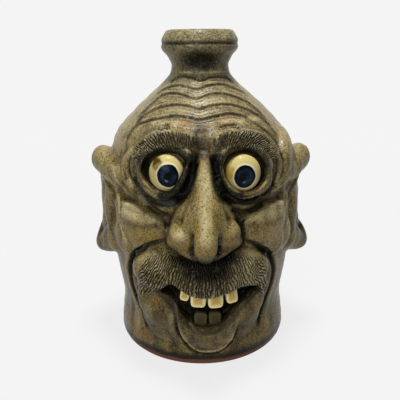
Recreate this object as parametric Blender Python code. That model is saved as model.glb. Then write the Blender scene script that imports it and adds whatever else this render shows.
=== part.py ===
"""Face jug: a thrown stoneware jug with a grotesque face modelled on its front.

Metres, +Z up, the face looks along -Y, and the origin is the centre of the foot on the jug's axis.
Left and right are the viewer's. Face measures are in units of FACE, a millimetre at the real size.
"""

import math

import bmesh
import bpy
import numpy as np
from mathutils import Vector

# The thrown jug
JUG_HEIGHT = 0.250
FOOT_RADIUS = 0.064
HEEL_RADIUS = 0.0698
WAIST_RADIUS = 0.067
BODY_RADIUS = 0.073
NECK_RADIUS = 0.022
COLLAR_RADIUS = 0.0298
LIP_RADIUS = 0.0202
BORE_RADIUS = 0.0155
WALL = 0.0065
FLOOR = 0.009
FACE = JUG_HEIGHT / 250
HEEL_HEIGHT = 9 * FACE
WAIST_HEIGHT = 38 * FACE
CHEEK_HEIGHT = 108 * FACE
TEMPLE_HEIGHT = 163 * FACE
NECK_HEIGHT = 222 * FACE
COLLAR_HEIGHT = 238 * FACE
# Shoulder stations: share of the way up from temple to neck, share of the radius left above the neck's
SHOULDER = ((0.0, 0.955), (0.2, 0.865), (0.36, 0.71), (0.56, 0.475), (0.76, 0.21), (0.88, 0.065))

# How fine the clay is worked, and what the white clay needs around it
CLAY_GRAIN = 0.0012
JUG_TRIANGLES = 6000
SETTING_GAP = 0.0003
LEAST_WALL = 0.003

# Eyes: place of the centre (x, z), half width, half height and half depth
EYES = {"left": (-23.4, 155.2), "right": (28.7, 154.4)}
EYE_RADII = (12.4, 7.4, 12.9)
EYE_OUT = 4.2
EYE_TURN = math.radians(8)

# Teeth: x of the middle, z of the middle, width, height, tilt in degrees
UPPER_TEETH = (
    (-12.2, 67.5, 6.8, 12.5, 12),
    (-2.9, 63.2, 11.4, 14.5, 2),
    (9.4, 62.2, 11.4, 14.5, -2),
    (21.0, 64.6, 8.8, 13.5, -8),
)
LOWER_TEETH = (
    (-1.5, 42.8, 10.0, 11.5, 2),
    (9.2, 43.0, 9.6, 11.5, -2),
)
TOOTH_DEPTH = 5.0
UPPER_TOOTH_OUT = 7.0
LOWER_TOOTH_OUT = 3.8

# Mouth opening, round its edge, before the moustache is laid over the top of it
MOUTH = (
    (-30.5, 69), (-22, 77), (-8, 78), (10, 78), (28, 77), (40, 67), (36, 61.5), (30, 57),
    (25, 51), (19.5, 44.5), (12, 39.5), (4, 38), (-4, 39), (-11, 43.5), (-16.5, 50), (-20, 58), (-25, 64),
)

# Opening between the lids, round its edge, wider than the eyeball that stands in it
EYE_OPENINGS = {
    "left": ((-10, 164.5), (-12.7, 169.5), (-18, 172), (-26, 172), (-33.5, 169), (-39, 164.5), (-41, 158.5),
             (-40.8, 152.5), (-37.5, 146.5), (-31.5, 142.5), (-25, 142), (-20.5, 144.5), (-16.2, 151), (-12.7, 157.5)),
    "right": ((14, 162.5), (17.4, 168), (24, 171), (31.5, 171), (38, 168), (42.5, 163), (45.3, 157), (45.4, 151.5),
              (42.8, 145.5), (37.5, 141), (30.6, 139.5), (24, 141.5), (19.5, 145.5), (16, 152), (14.2, 157.5)),
}

# Forehead folds, from the brows up: (x, z) along each groove
FOLDS = (
    ((-55, 168), (-50, 180), (-40, 185.5), (-29, 188.5), (-18, 190.5), (-9, 190), (-1, 188.5), (9, 190),
     (20, 191.5), (31, 189), (42, 182), (52, 174), (57, 163)),
    ((-54, 174), (-43, 188), (-34, 193.5), (-25, 196.5), (-15, 197.5), (-7, 196.5), (-1, 195), (8, 197),
     (19, 197.5), (29, 195), (38, 191), (48, 184), (56, 174)),
    ((-47, 187), (-38, 195), (-30, 202), (-23, 204.5), (-15, 204.5), (-8, 202.5), (-2, 201.5), (6, 204),
     (15, 204.5), (25, 202), (34, 198), (42, 192), (48, 186)),
    ((-32, 204), (-25, 208), (-17, 210), (-9, 209), (-2, 207.5), (6, 210), (16, 210.5), (25, 207.5), (34, 203)),
    ((-22, 212), (-16, 216), (-10, 216.5), (-4, 215), (1, 213.5), (7, 215.5), (14, 216), (20, 214.5), (25, 211)),
)


def catmull(points, steps):
    """Points along a smooth curve through the given ones, steps to each span. Works on any columns of numbers."""
    p = np.array(points, float)
    p = np.vstack([2 * p[0] - p[1], p, 2 * p[-1] - p[-2]])
    found = []
    for a, b, c, d in zip(p[:-3], p[1:-2], p[2:-1], p[3:]):
        for t in np.arange(steps) / steps:
            found.append(0.5 * (2 * b + (c - a) * t + (2 * a - 5 * b + 4 * c - d) * t**2
                                + (3 * b - a - 3 * c + d) * t**3))
    return np.array(found + [p[-2]])


def outer_stations():
    """(radius, height) from the foot's edge up to the crest of the lip."""
    shoulder = [
        (NECK_RADIUS + (BODY_RADIUS - NECK_RADIUS) * left, TEMPLE_HEIGHT + (NECK_HEIGHT - TEMPLE_HEIGHT) * up)
        for up, left in SHOULDER
    ]
    lip_drop = JUG_HEIGHT - COLLAR_HEIGHT
    return [
        (FOOT_RADIUS, -0.001),
        (FOOT_RADIUS + 0.7 * (HEEL_RADIUS - FOOT_RADIUS), 0.38 * HEEL_HEIGHT),
        (HEEL_RADIUS, HEEL_HEIGHT),
        (0.6 * HEEL_RADIUS + 0.4 * WAIST_RADIUS, 0.5 * (HEEL_HEIGHT + WAIST_HEIGHT)),
        (WAIST_RADIUS, WAIST_HEIGHT),
        (0.45 * WAIST_RADIUS + 0.55 * BODY_RADIUS, WAIST_HEIGHT + 0.35 * (CHEEK_HEIGHT - WAIST_HEIGHT)),
        (0.99 * BODY_RADIUS, WAIST_HEIGHT + 0.6 * (CHEEK_HEIGHT - WAIST_HEIGHT)),
        (BODY_RADIUS, CHEEK_HEIGHT),
        (BODY_RADIUS, 0.35 * CHEEK_HEIGHT + 0.65 * TEMPLE_HEIGHT),
        *shoulder,
        (NECK_RADIUS, NECK_HEIGHT),
        (NECK_RADIUS + 0.22 * (COLLAR_RADIUS - NECK_RADIUS), NECK_HEIGHT + 0.42 * (COLLAR_HEIGHT - NECK_HEIGHT)),
        (NECK_RADIUS + 0.76 * (COLLAR_RADIUS - NECK_RADIUS), NECK_HEIGHT + 0.75 * (COLLAR_HEIGHT - NECK_HEIGHT)),
        (COLLAR_RADIUS, COLLAR_HEIGHT - 0.06 * lip_drop),
        (0.975 * COLLAR_RADIUS, COLLAR_HEIGHT + 0.2 * lip_drop),
        (0.99 * COLLAR_RADIUS, COLLAR_HEIGHT + 0.32 * lip_drop),
        (0.6 * COLLAR_RADIUS + 0.4 * (COLLAR_RADIUS - 0.003), COLLAR_HEIGHT + 0.5 * lip_drop),
        (COLLAR_RADIUS - 0.0032, COLLAR_HEIGHT + 0.74 * lip_drop),
        (0.5 * (COLLAR_RADIUS + LIP_RADIUS) - 0.001, COLLAR_HEIGHT + 0.93 * lip_drop),
        (LIP_RADIUS, JUG_HEIGHT),
    ]


def inner_stations(grow=0.0):
    """(radius, height) of the hollow from the floor up, its wall moved outwards by grow."""
    body = [(r, z) for r, z in outer_stations() if WAIST_HEIGHT <= z < NECK_HEIGHT]
    inside = [(r - WALL + grow, z) for r, z in body if r - WALL > BORE_RADIUS]
    start = FLOOR - grow
    return [
        (HEEL_RADIUS - 2.2 * WALL + grow, start),
        (HEEL_RADIUS - WALL + grow, start + WALL),
        *inside,
        (BORE_RADIUS + grow, NECK_HEIGHT - WALL),
        (BORE_RADIUS + grow, COLLAR_HEIGHT),
        (BORE_RADIUS + grow + 0.25 * (LIP_RADIUS - BORE_RADIUS), JUG_HEIGHT - 0.002),
        (BORE_RADIUS + grow + 0.8 * (LIP_RADIUS - BORE_RADIUS), JUG_HEIGHT + 0.002),
    ]


OUTER = catmull(outer_stations(), 4)


def wall_radius(z):
    return float(np.interp(z, OUTER[:, 1], OUTER[:, 0]))


def wall_point(x, z, out=0.0):
    """A point in front of the thrown wall, out from it, with face measures in and metres out."""
    x, z = x * FACE, z * FACE
    radius = wall_radius(z) + out * FACE
    return Vector((x, -math.sqrt(max(radius**2 - x**2, 0.0)), z))


def side_point(side, y, z, out=0.0):
    """The same at the side of the head, given y in place of x. Side is -1 on the left and 1 on the right."""
    y, z = y * FACE, z * FACE
    radius = wall_radius(z) + out * FACE
    return Vector((side * math.sqrt(max(radius**2 - y**2, 0.0)), y, z))


def linked(name, mesh):
    obj = bpy.data.objects.new(name, mesh)
    bpy.context.collection.objects.link(obj)
    return obj


def baked(obj):
    """Replaces an object's mesh by what its modifiers make of it."""
    graph = bpy.context.evaluated_depsgraph_get()
    mesh = bpy.data.meshes.new_from_object(obj.evaluated_get(graph))
    obj.modifiers.clear()
    obj.data = mesh
    return obj


def turned(name, stations, segments):
    """A solid of revolution: the stations from bottom to top, closed to the axis at both ends."""
    rows = [(0.0, stations[0][1]), *[tuple(s) for s in stations], (0.0, stations[-1][1])]
    mesh = bpy.data.meshes.new(name)
    top_down = rows[::-1]
    mesh.from_pydata([(r, 0, z) for r, z in top_down], [(i, i + 1) for i in range(len(rows) - 1)], [])
    obj = linked(name, mesh)
    screw = obj.modifiers.new("turn", "SCREW")
    screw.steps = screw.render_steps = segments
    screw.use_merge_vertices = True
    screw.merge_threshold = 1e-5
    return baked(obj)


def ball(centre, radii, turn=0.0, detail=4):
    """An ellipsoid of clay, its radii along x, y and z in face measures, turned about z."""
    form = bmesh.new()
    bmesh.ops.create_icosphere(form, subdivisions=detail, radius=1.0)
    bmesh.ops.scale(form, vec=Vector(radii) * FACE, verts=form.verts)
    mesh = bpy.data.meshes.new("ball")
    form.to_mesh(mesh)
    form.free()
    obj = linked("ball", mesh)
    obj.rotation_euler.z = turn
    obj.location = centre
    return obj


def roll(stations, sides=20, fullness=1.0):
    """A roll of clay through stations of (centre, half width, half thickness). It lies on the wall behind it,
    its width along the wall and its thickness out from it. The widths are in face measures. A fullness
    below 1 squares up its round section."""
    rows = catmull([(*centre, wide * FACE, thick * FACE) for centre, wide, thick in stations], 6)
    centres = rows[:, :3]
    along = np.gradient(centres, axis=0)
    along /= np.linalg.norm(along, axis=1)[:, None]
    out = centres * (1, 1, 0)
    out -= along * np.sum(out * along, axis=1)[:, None]
    out /= np.linalg.norm(out, axis=1)[:, None]
    across = np.cross(along, out)
    # Round ends: three smaller rings past each end
    ends = [(math.sin(a), math.cos(a)) for a in (1.35, 0.95, 0.5)]
    rings = []

    def ring(row, push, shrink):
        reach = min(rows[row, 3], rows[row, 4])
        rings.append((centres[row] + along[row] * push * reach, across[row] * rows[row, 3] * shrink,
                      out[row] * rows[row, 4] * shrink))

    for s, c in ends:
        ring(0, -s, c)
    for row in range(len(rows)):
        ring(row, 0, 1)
    for s, c in reversed(ends):
        ring(len(rows) - 1, s, c)
    angles = np.arange(sides) * math.tau / sides
    section = [np.copysign(np.abs(part) ** fullness, part) for part in (np.cos(angles), np.sin(angles))]
    form = bmesh.new()
    loops = []
    for centre, wide, thick in rings:
        loops.append([form.verts.new(centre + wide * c + thick * s) for c, s in zip(*section)])
    for one, two in zip(loops, loops[1:]):
        for i in range(sides):
            form.faces.new((one[i], one[(i + 1) % sides], two[(i + 1) % sides], two[i]))
    form.faces.new(loops[0][::-1])
    form.faces.new(loops[-1])
    bmesh.ops.recalc_face_normals(form, faces=form.faces)
    mesh = bpy.data.meshes.new("roll")
    form.to_mesh(mesh)
    form.free()
    return linked("roll", mesh)


def slab(outline, near, far):
    """A cutter with an outline in x and z, in face measures, running back from y near to y far in metres."""
    closed = [*outline, *outline[:3]]
    smooth = catmull(closed, 5)[5:-5]
    smooth = smooth[: len(outline) * 5] * FACE
    form = bmesh.new()
    front = [form.verts.new((x, near, z)) for x, z in smooth]
    face = form.faces.new(front)
    back = bmesh.ops.extrude_face_region(form, geom=[face])
    moved = [v for v in back["geom"] if isinstance(v, bmesh.types.BMVert)]
    bmesh.ops.translate(form, vec=(0, far - near, 0), verts=moved)
    bmesh.ops.recalc_face_normals(form, faces=form.faces)
    mesh = bpy.data.meshes.new("slab")
    form.to_mesh(mesh)
    form.free()
    return linked("slab", mesh)


def fused(body, lumps, smoothing):
    """Presses lumps of clay onto the body and smooths the joins. The body takes them in."""
    form = bmesh.new()
    for obj in (body, *lumps):
        bpy.context.view_layer.update()
        first = len(form.verts)
        form.from_mesh(obj.data)
        form.verts.ensure_lookup_table()
        bmesh.ops.transform(form, matrix=obj.matrix_world, verts=form.verts[first:])
    form.to_mesh(body.data)
    form.free()
    for obj in lumps:
        bpy.data.objects.remove(obj)
    remesh = body.modifiers.new("knead", "REMESH")
    remesh.mode = "VOXEL"
    remesh.voxel_size = CLAY_GRAIN
    baked(body)
    body.vertex_groups.clear()
    soft = body.vertex_groups.new(name="soft")
    soft.add([v.index for v in body.data.vertices if 2 * CLAY_GRAIN < v.co.z < NECK_HEIGHT], 1.0, "REPLACE")
    smooth = body.modifiers.new("smooth", "SMOOTH")
    smooth.factor = 0.5
    smooth.iterations = smoothing
    smooth.vertex_group = "soft"
    return baked(body)


def cut(body, cutter, remove=True):
    boolean = body.modifiers.new("cut", "BOOLEAN")
    boolean.operation = "DIFFERENCE"
    boolean.solver = "EXACT"
    boolean.object = cutter
    baked(body)
    if remove:
        bpy.data.objects.remove(cutter)
    return body


def on_skin(clay, points, steps=5):
    """A path laid on the front of the clay as it is now: smooth, through (x, z) in face measures."""
    bpy.context.view_layer.update()
    found = []
    for x, z in catmull(points, steps) * FACE:
        hit, place, _, _ = clay.ray_cast(Vector((x, -1, z)), Vector((0, 1, 0)))
        if hit:
            found.append(place)
    return np.array(found)


def mesh_arrays(clay):
    count = len(clay.data.vertices)
    places, normals = np.empty(count * 3), np.empty(count * 3)
    clay.data.vertices.foreach_get("co", places)
    clay.data.vertex_normals.foreach_get("vector", normals)
    return places.reshape(-1, 3), normals.reshape(-1, 3)


def worked(clay, strokes):
    """Pushes the clay's surface in along grooves and out along ridges. A stroke is (path, half width, depth, banks):
    depth is pushed in along the path, and banks is how high the clay rises beside it, all in face measures."""
    places, normals = mesh_arrays(clay)
    push = np.zeros(len(places))
    for path, width, depth, banks in strokes:
        reach = 3 * width * FACE if banks else width * FACE
        near = np.flatnonzero(np.all((places > path.min(0) - reach) & (places < path.max(0) + reach), axis=1))
        start, step = path[:-1], np.diff(path, axis=0)
        length = np.sum(step**2, axis=1) + 1e-12
        away, share = np.full(len(near), 9.0), np.zeros(len(near))
        for i in range(len(start)):
            t = np.clip((places[near] - start[i]) @ step[i] / length[i], 0, 1)
            d = np.linalg.norm(places[near] - start[i] - t[:, None] * step[i], axis=1)
            closer = d < away
            away[closer] = d[closer]
            share[closer] = (i + t[closer]) / len(start)
        fade = np.clip(7 * share * (1 - share), 0, 1)
        across = away / (width * FACE)
        groove = np.where(across < 1, (1 - np.clip(across, 0, 1) ** 2) ** 2, 0)
        bank = np.where((across > 0.7) & (across < 3), np.sin(np.clip((across - 0.7) / 2.3, 0, 1) * math.pi), 0)
        push[near] += fade * (banks * bank - depth * groove) * FACE
    places += normals * push[:, None]
    clay.data.vertices.foreach_set("co", places.ravel())
    clay.data.update()
    return clay


def nose():
    """A wedge built of three rolls, each narrower and further out than the last, and a wing on each side."""
    ridge = ((2.2, 170, -1, 3.2, 3), (2.2, 160, 2.5, 4.5, 4.8), (2.6, 148, 7, 6.4, 6.6), (3.2, 134, 12.5, 8, 8.6),
             (3.2, 121, 18, 9.4, 10), (2.6, 111, 22, 9.2, 10.5), (2.4, 104.5, 22, 7, 7.5))
    slopes = ((2.2, 164, -1, 4.6, 4.6), (2.4, 150, 3, 9, 8.4), (2.6, 137, 6.4, 13, 11), (2.4, 124, 9.5, 16.5, 12.6),
              (2.1, 114, 10.5, 18, 12.6), (2, 108.5, 10.5, 17, 9))
    flanks = ((2, 163, -4, 5.5, 6), (2, 150, -2, 10.5, 9.5), (2, 137, 0, 16, 12.5), (2, 124, 1, 21.5, 14.5),
              (1.5, 114, 1, 25, 14), (1.5, 109, 1, 25, 11))
    return [roll([(wall_point(x, z, out), wide, thick) for x, z, out, wide, thick in one])
            for one in (ridge, slopes, flanks)] + [
        ball(wall_point(-14, 114, 10.5), (8.8, 10.5, 9.5)),
        ball(wall_point(-18, 108.2, 7.5), (6.8, 9, 5.2)),
        ball(wall_point(18, 114.5, 10.5), (9, 10, 10)),
        ball(wall_point(21.5, 107.5, 7.5), (6.6, 9, 4.8)),
    ]


def cheeks():
    """Flat-topped cheekbones, the clay below them falling to the smile fold."""
    left = ((-58, 118, -4, 8, 6), (-50.5, 117.5, -1, 12.5, 9), (-40, 113.5, 1, 14.5, 9.5), (-29, 110, 0, 11, 7))
    right = ((60.5, 117, -4, 8, 6), (53, 117, -1, 12.5, 9), (43, 113.5, 1, 14.5, 9.5), (32, 110, 0, 11, 7))
    return [roll([(wall_point(x, z, out), wide, thick) for x, z, out, wide, thick in one], fullness=0.8)
            for one in (left, right)]


def eye_mounds():
    """The bags, and the soft rim on the outer side of each eye."""
    left = ((-43, 168, 3), (-49, 163, 5), (-53, 156, 6), (-53.5, 148, 5.5), (-49, 140, 3.5))
    right = ((49, 167, 3), (54.5, 160, 5), (57.5, 152, 6), (56.5, 144, 5), (52, 138, 3.5))
    rims = [roll([(wall_point(x, z, -0.5), wide, 4) for x, z, wide in one]) for one in (left, right)]
    return [ball(wall_point(x, z - 2, -2), (21, 12, 24)) for x, z in EYES.values()] + rims


def lids():
    """Below each eye a rolled rim, and on the nose side a fold that laps over the ball."""
    lower_left = ((-42.5, 156), (-41, 149), (-37, 143.5), (-31, 139.8), (-25, 138.6), (-19.5, 140.5))
    lower_right = ((19.5, 143), (25, 138.8), (31, 137.3), (37, 138.3), (42.5, 142), (46.3, 148), (47, 155))
    inner_left = ((-5.5, 169, 2, 2), (-8, 163.5, 4.5, 2.8), (-10.4, 157, 6, 3.4), (-13.8, 150.5, 6.6, 3.6),
                  (-18, 144, 6.8, 3.4), (-24, 140.5, 6.6, 2.4))
    inner_right = ((13, 168, 2, 2), (12.9, 162.5, 5, 2.2), (13.4, 157, 6.5, 2.5), (15.4, 150.2, 6.8, 2.6),
                   (20, 143.5, 6.8, 2.4), (26, 140, 6.6, 2))
    return [roll([(wall_point(x, z, 6.5), 3.2, 3.2) for x, z in one]) for one in (lower_left, lower_right)] + [
        roll([(wall_point(x, z, out), wide, 3.6) for x, z, out, wide in one]) for one in (inner_left, inner_right)]


def temple():
    """The clay of the forehead, built up a little higher over one temple."""
    return [ball(side_point(1, -14, 156, -10.2), (11.4, 34, 23))]


def muzzle():
    """The bulge round the mouth, which the smile folds set off from the cheeks."""
    return [
        ball(wall_point(-1, 82, -8), (50, 22, 25)),
        ball(wall_point(-1, 58, -8), (48, 13.5, 36)),
    ]


def chin():
    return [ball(wall_point(3.5, 37, -4.5), (24, 15.5, 23.5))]


def lower_lip():
    rim = ((-29, 64, 3), (-24, 57, 4), (-18.5, 48, 4), (-12, 39.5, 4.2), (-3.5, 34.5, 4.5), (4, 33.2, 4.5),
           (12, 34.7, 4.5), (19.5, 40, 4.2), (26, 48.5, 4), (33, 56, 3.6), (38, 62, 3))
    return [roll([(wall_point(x, z, 5.5), wide, 5) for x, z, wide in rim])]


def brows():
    left = ((-45, 165.5, 3.5), (-39.5, 171, 5.5), (-28, 176.8, 6.8), (-16, 177.8, 6.8), (-7, 177.5, 5.5))
    right = ((51.5, 164, 3.5), (46, 170.5, 5.2), (38, 175, 6.4), (27, 177.3, 6.8), (17.5, 177.3, 6.6), (12, 177, 5))
    return [roll([(wall_point(x, z, 6.5), wide, 5.6) for x, z, wide in one], fullness=0.6)
            for one in (left, right)]


def moustache():
    stations = (
        (-43, 68, 3, 4.5), (-40, 75, 5, 6.5), (-33.5, 81.5, 7, 9), (-24, 86, 7.5, 10.5), (-14, 84.5, 8, 12),
        (-4, 79.5, 8.5, 13.5), (4, 78.3, 8.5, 13.5), (14, 80, 8.5, 13), (24, 82.5, 8, 12), (34, 80.5, 7, 10),
        (40, 76, 5, 7.5), (43.5, 67.5, 3, 4.5),
    )
    return [roll([(wall_point(x, z, out), wide, 6.5) for x, z, out, wide in stations], fullness=0.75)]


def ear(side):
    """The rim from the top knob down to the lobe, the flare behind the bowl, and the bowl's thin front crest."""
    rim = ((-4, 141, 3, 5), (4, 136, 6, 4.5), (10, 126, 7, 4), (12, 112, 7, 4), (10, 98, 7, 4.5), (3, 86, 10, 6),
           (-5, 79.5, 11, 6.5), (-13, 80, 5, 6))
    crest = ((0, 139, 8, 2.4), (-14, 136, 4.5, 2.4), (-29, 128, 1.6, 2.2), (-37, 117, 0.8, 2.2),
             (-39, 105, 0.5, 2.2), (-36, 95, 0.5, 2.4), (-27, 87, 1, 3), (-14, 82, 4, 4.5))
    return [
        roll([(side_point(side, y, z, out), r, r) for y, z, out, r in rim]),
        roll([(side_point(side, y, z, out), r, r) for y, z, out, r in crest]),
        ball(side_point(side, -6, 151.5, 6), (10, 10.5, 11.5)),
        ball(side_point(side, 3, 118, -1), (7, 14, 34), turn=-0.12 * side),
        ball(side_point(side, -8, 83, 4), (9, 9, 11)),
    ]


def eye_turn(side):
    return EYE_TURN if side == "right" else -EYE_TURN


def eye_form(side, gap=0.0):
    x, z = EYES[side]
    radii = [r + gap / FACE for r in EYE_RADII]
    return ball(wall_point(x, z, EYE_OUT), radii, turn=eye_turn(side), detail=3)


def tooth_form(x, z, wide, high, tilt, out, gap=0.0):
    """A tooth: a block with well rounded sides."""
    form = bmesh.new()
    bmesh.ops.create_cube(form, size=1.0)
    bmesh.ops.bevel(form, geom=form.edges, offset=0.16, segments=2, profile=0.6, affect="EDGES")
    size = Vector((wide, TOOTH_DEPTH, high)) * FACE + Vector((2, 2, 2)) * gap
    bmesh.ops.scale(form, vec=size, verts=form.verts)
    mesh = bpy.data.meshes.new("tooth")
    form.to_mesh(mesh)
    form.free()
    obj = linked("tooth", mesh)
    obj.location = wall_point(x, z, out)
    obj.rotation_euler = (0, math.radians(tilt), math.atan2(x, 75))
    return obj


def teeth(gap=0.0):
    """Each tooth's node name and form."""
    for i, tooth in enumerate(UPPER_TEETH):
        yield f"tooth_upper_{i + 1}", tooth_form(*tooth, UPPER_TOOTH_OUT, gap)
    for i, tooth in enumerate(LOWER_TEETH):
        yield f"tooth_lower_{i + 1}", tooth_form(*tooth, LOWER_TOOTH_OUT, gap)


def grooves(clay):
    """The folds and creases that show from a step away."""
    smile_left = ((-27, 107), (-38, 102), (-47, 94), (-53.5, 84), (-56, 72), (-55, 58), (-51, 45), (-46, 34))
    smile_right = ((30, 106), (40, 100), (48, 91), (53, 82), (55.5, 71), (54, 58), (50, 46), (45.5, 35))
    strokes = [(on_skin(clay, path), 4.6, 6.5, 0.7) for path in (smile_left, smile_right)]
    strokes += [(on_skin(clay, path), 2.2, 2.6, 0.8) for path in FOLDS]
    brow_left = ((-47, 166), (-42, 173), (-35, 180), (-27, 184), (-17, 184.5), (-8, 183.5))
    brow_right = ((11, 182.5), (19, 184.5), (30, 183.5), (39.5, 180.5), (46.5, 175), (53, 166))
    strokes += [(on_skin(clay, path), 2.2, 1.8, 0.3) for path in (brow_left, brow_right)]
    chin_edge = ((-22, 58), (-20.5, 46), (-19, 35), (-16, 26), (-11, 18), (-5, 13.5), (3, 12), (11, 12.5),
                 (18.5, 16), (23.5, 24), (26.5, 31), (29, 42))
    strokes.append((on_skin(clay, chin_edge), 2.6, 2.6, 0.4))
    beside_tip = (((-7, 121), (-6.6, 115), (-6.4, 110), (-7, 103)), ((12, 118), (11.6, 113), (11.2, 108), (11, 102)))
    strokes += [(on_skin(clay, path), 3.2, 2.4, 0.2) for path in beside_tip]
    under_left = ((-4.8, 166), (-5.6, 158), (-8.4, 149), (-12.6, 140.5), (-18.5, 133.5), (-27, 130.5), (-35, 133),
                  (-41, 138), (-45.5, 145))
    under_right = ((9.5, 165), (10.2, 154), (13, 144), (18.5, 136.5), (26.5, 132.5), (35.5, 132), (43.5, 134.5),
                   (49.5, 139))
    strokes += [(on_skin(clay, path), 3.8, 6.5, 0.2) for path in (under_left, under_right)]
    bag_left = ((-45, 138.5), (-39.5, 132), (-33.5, 127.5), (-27, 124.5), (-20, 125))
    bag_right = ((19, 130), (26, 126), (34, 125), (41, 127.5), (48, 132.5))
    strokes += [(on_skin(clay, path), 2.2, 2.0, 0.5) for path in (bag_left, bag_right)]
    return worked(clay, strokes)


def opened(clay, outline, wall):
    """Cuts an opening straight back to a floor that leaves the given wall in front of the hollow."""
    opening = slab(outline, -0.2, -0.03)
    cut(opening, turned("core", catmull(inner_stations(wall), 3), 64))
    return cut(clay, opening)


def jug_clay():
    clay = turned("jug", OUTER, 96)
    clay = fused(clay, [*nose(), *cheeks(), *eye_mounds(), *temple(), *muzzle(), *chin()], 8)
    opened(clay, MOUTH, LEAST_WALL)
    for outline in EYE_OPENINGS.values():
        opened(clay, outline, WALL + 0.001)
    clay = fused(clay, [*lower_lip(), *lids(), *brows(), *moustache(), *ear(-1), *ear(1)], 4)
    grooves(clay)
    return fused(clay, [], 1)


def triangles_in(obj):
    obj.data.calc_loop_triangles()
    return len(obj.data.loop_triangles)


def lightened(clay, triangles):
    """Fewer triangles, with the form kept where it bends most."""
    decimate = clay.modifiers.new("lighten", "DECIMATE")
    decimate.ratio = triangles / triangles_in(clay)
    return baked(clay)


def material(name, colour, roughness):
    made = bpy.data.materials.new(name)
    made.use_nodes = True
    shader = made.node_tree.nodes["Principled BSDF"]
    shader.inputs["Base Color"].default_value = (*colour, 1)
    shader.inputs["Roughness"].default_value = roughness
    shader.inputs["Metallic"].default_value = 0.0
    return made


def build():
    for obj in list(bpy.data.objects):
        bpy.data.objects.remove(obj)
    glaze = material("olive_glaze", (0.19, 0.165, 0.10), 0.35)
    eye_white = material("eye_glaze", (0.70, 0.60, 0.33), 0.2)
    enamel = material("tooth_glaze", (0.66, 0.55, 0.28), 0.25)

    jug = lightened(jug_clay(), JUG_TRIANGLES)
    foot = turned("ground", [(0.2, -0.02), (0.2, 0.0)], 16)
    cut(jug, foot)
    for side in EYES:
        cut(jug, eye_form(side, SETTING_GAP))
    for _, form in teeth(SETTING_GAP):
        cut(jug, form)
    cut(jug, turned("hollow", catmull(inner_stations(), 1), 32))
    jug.vertex_groups.clear()
    jug.data.materials.clear()
    jug.data.materials.append(glaze)
    jug.data.shade_smooth()

    for side in EYES:
        eye = eye_form(side)
        eye.name = f"eye_{side}"
        eye.data.materials.append(eye_white)
        eye.data.shade_smooth()
    for name, tooth in teeth():
        tooth.name = name
        tooth.data.materials.append(enamel)
        tooth.data.shade_smooth()


build()
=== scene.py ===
import math
from contextlib import contextmanager

import bpy
import numpy as np
from bpy.props import FloatProperty, FloatVectorProperty, PointerProperty
from bpy.types import Operator, Panel, PropertyGroup
from mathutils import Matrix, Vector, noise
from mathutils.bvhtree import BVHTree


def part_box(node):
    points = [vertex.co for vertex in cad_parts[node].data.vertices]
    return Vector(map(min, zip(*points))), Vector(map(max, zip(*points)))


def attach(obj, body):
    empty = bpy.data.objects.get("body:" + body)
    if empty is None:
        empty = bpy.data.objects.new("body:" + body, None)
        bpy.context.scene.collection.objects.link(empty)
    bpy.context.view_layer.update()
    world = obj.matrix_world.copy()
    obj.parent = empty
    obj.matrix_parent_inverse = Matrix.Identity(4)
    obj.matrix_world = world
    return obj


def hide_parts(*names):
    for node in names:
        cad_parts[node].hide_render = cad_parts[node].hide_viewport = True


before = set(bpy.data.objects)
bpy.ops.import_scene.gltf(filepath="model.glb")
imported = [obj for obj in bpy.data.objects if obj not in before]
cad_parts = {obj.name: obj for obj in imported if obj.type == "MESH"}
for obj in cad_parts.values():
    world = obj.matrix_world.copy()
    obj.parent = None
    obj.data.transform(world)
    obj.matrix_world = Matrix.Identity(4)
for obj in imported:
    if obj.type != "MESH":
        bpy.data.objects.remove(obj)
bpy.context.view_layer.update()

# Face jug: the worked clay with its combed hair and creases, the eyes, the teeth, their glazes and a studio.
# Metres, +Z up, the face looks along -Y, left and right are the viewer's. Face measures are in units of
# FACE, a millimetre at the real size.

bl_info = {
    "name": "Face jug",
    "version": (1, 0, 0),
    "blender": (4, 5, 0),
    "location": "3D View > Sidebar > Face jug",
    "description": "Models and glazes a stoneware face jug around its packed solids",
    "category": "Add Mesh",
}

JUG_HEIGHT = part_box("jug")[1][2]
FACE = JUG_HEIGHT / 250
EYE_CENTRES = {side: (Vector(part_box(f"eye_{side}")[0]) + Vector(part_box(f"eye_{side}")[1])) / 2
               for side in ("left", "right")}

# The thrown wall from the foot to the crest of the lip: (radius, height)
OUTSIDE = (
    (64, -1), (68.1, 3.4), (69.8, 9), (68.7, 23.5), (67, 38), (70.3, 62.5), (72.3, 80), (73, 108), (73, 143.8),
    (70.7, 163), (66.1, 174.8), (58.2, 184.2), (46.2, 196), (32.7, 207.8), (25.3, 214.9), (22, 222),
    (23.7, 228.7), (27.9, 234), (29.7, 237.2), (29.7, 238.4), (28.9, 239.2), (28.9, 240.4), (29.6, 241.3),
    (28.7, 244.3), (27.0, 247.6), (25.8, 249.3), (22.6, 250), (20.2, 250),
)
# The hollow from its floor to past the lip
INSIDE = (
    (55.5, 9), (63.3, 15.5), (60.5, 38), (63.8, 62.5), (65.8, 80), (66.5, 108), (66.5, 143.8), (64.2, 163),
    (59.6, 174.8), (51.7, 184.2), (39.7, 196), (26.2, 207.8), (18.8, 214.9), (15.5, 216.5), (15.5, 238),
    (16.7, 248), (19.4, 252),
)
WALL = 6.5
MOUTH_WALL = 3.0
SETTING_GAP = 0.3
NECK = 222
COLLAR_GROOVE = 240
WHEEL_STEPS = 128
# In metres: below this height the foot stays crisp, points nearer than this are one, and the grains at which the
# strokes of the thumb were counted, all over and by the ears
CRISP_FOOT = 0.0024
WELD = 1e-6
THUMB_GRAIN, EAR_GRAIN = 0.0012, 0.0008

EYE_RADII = (12.4, 7.4, 12.9)
EYE_TURNS = {"left": -math.radians(8), "right": math.radians(8)}
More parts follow.
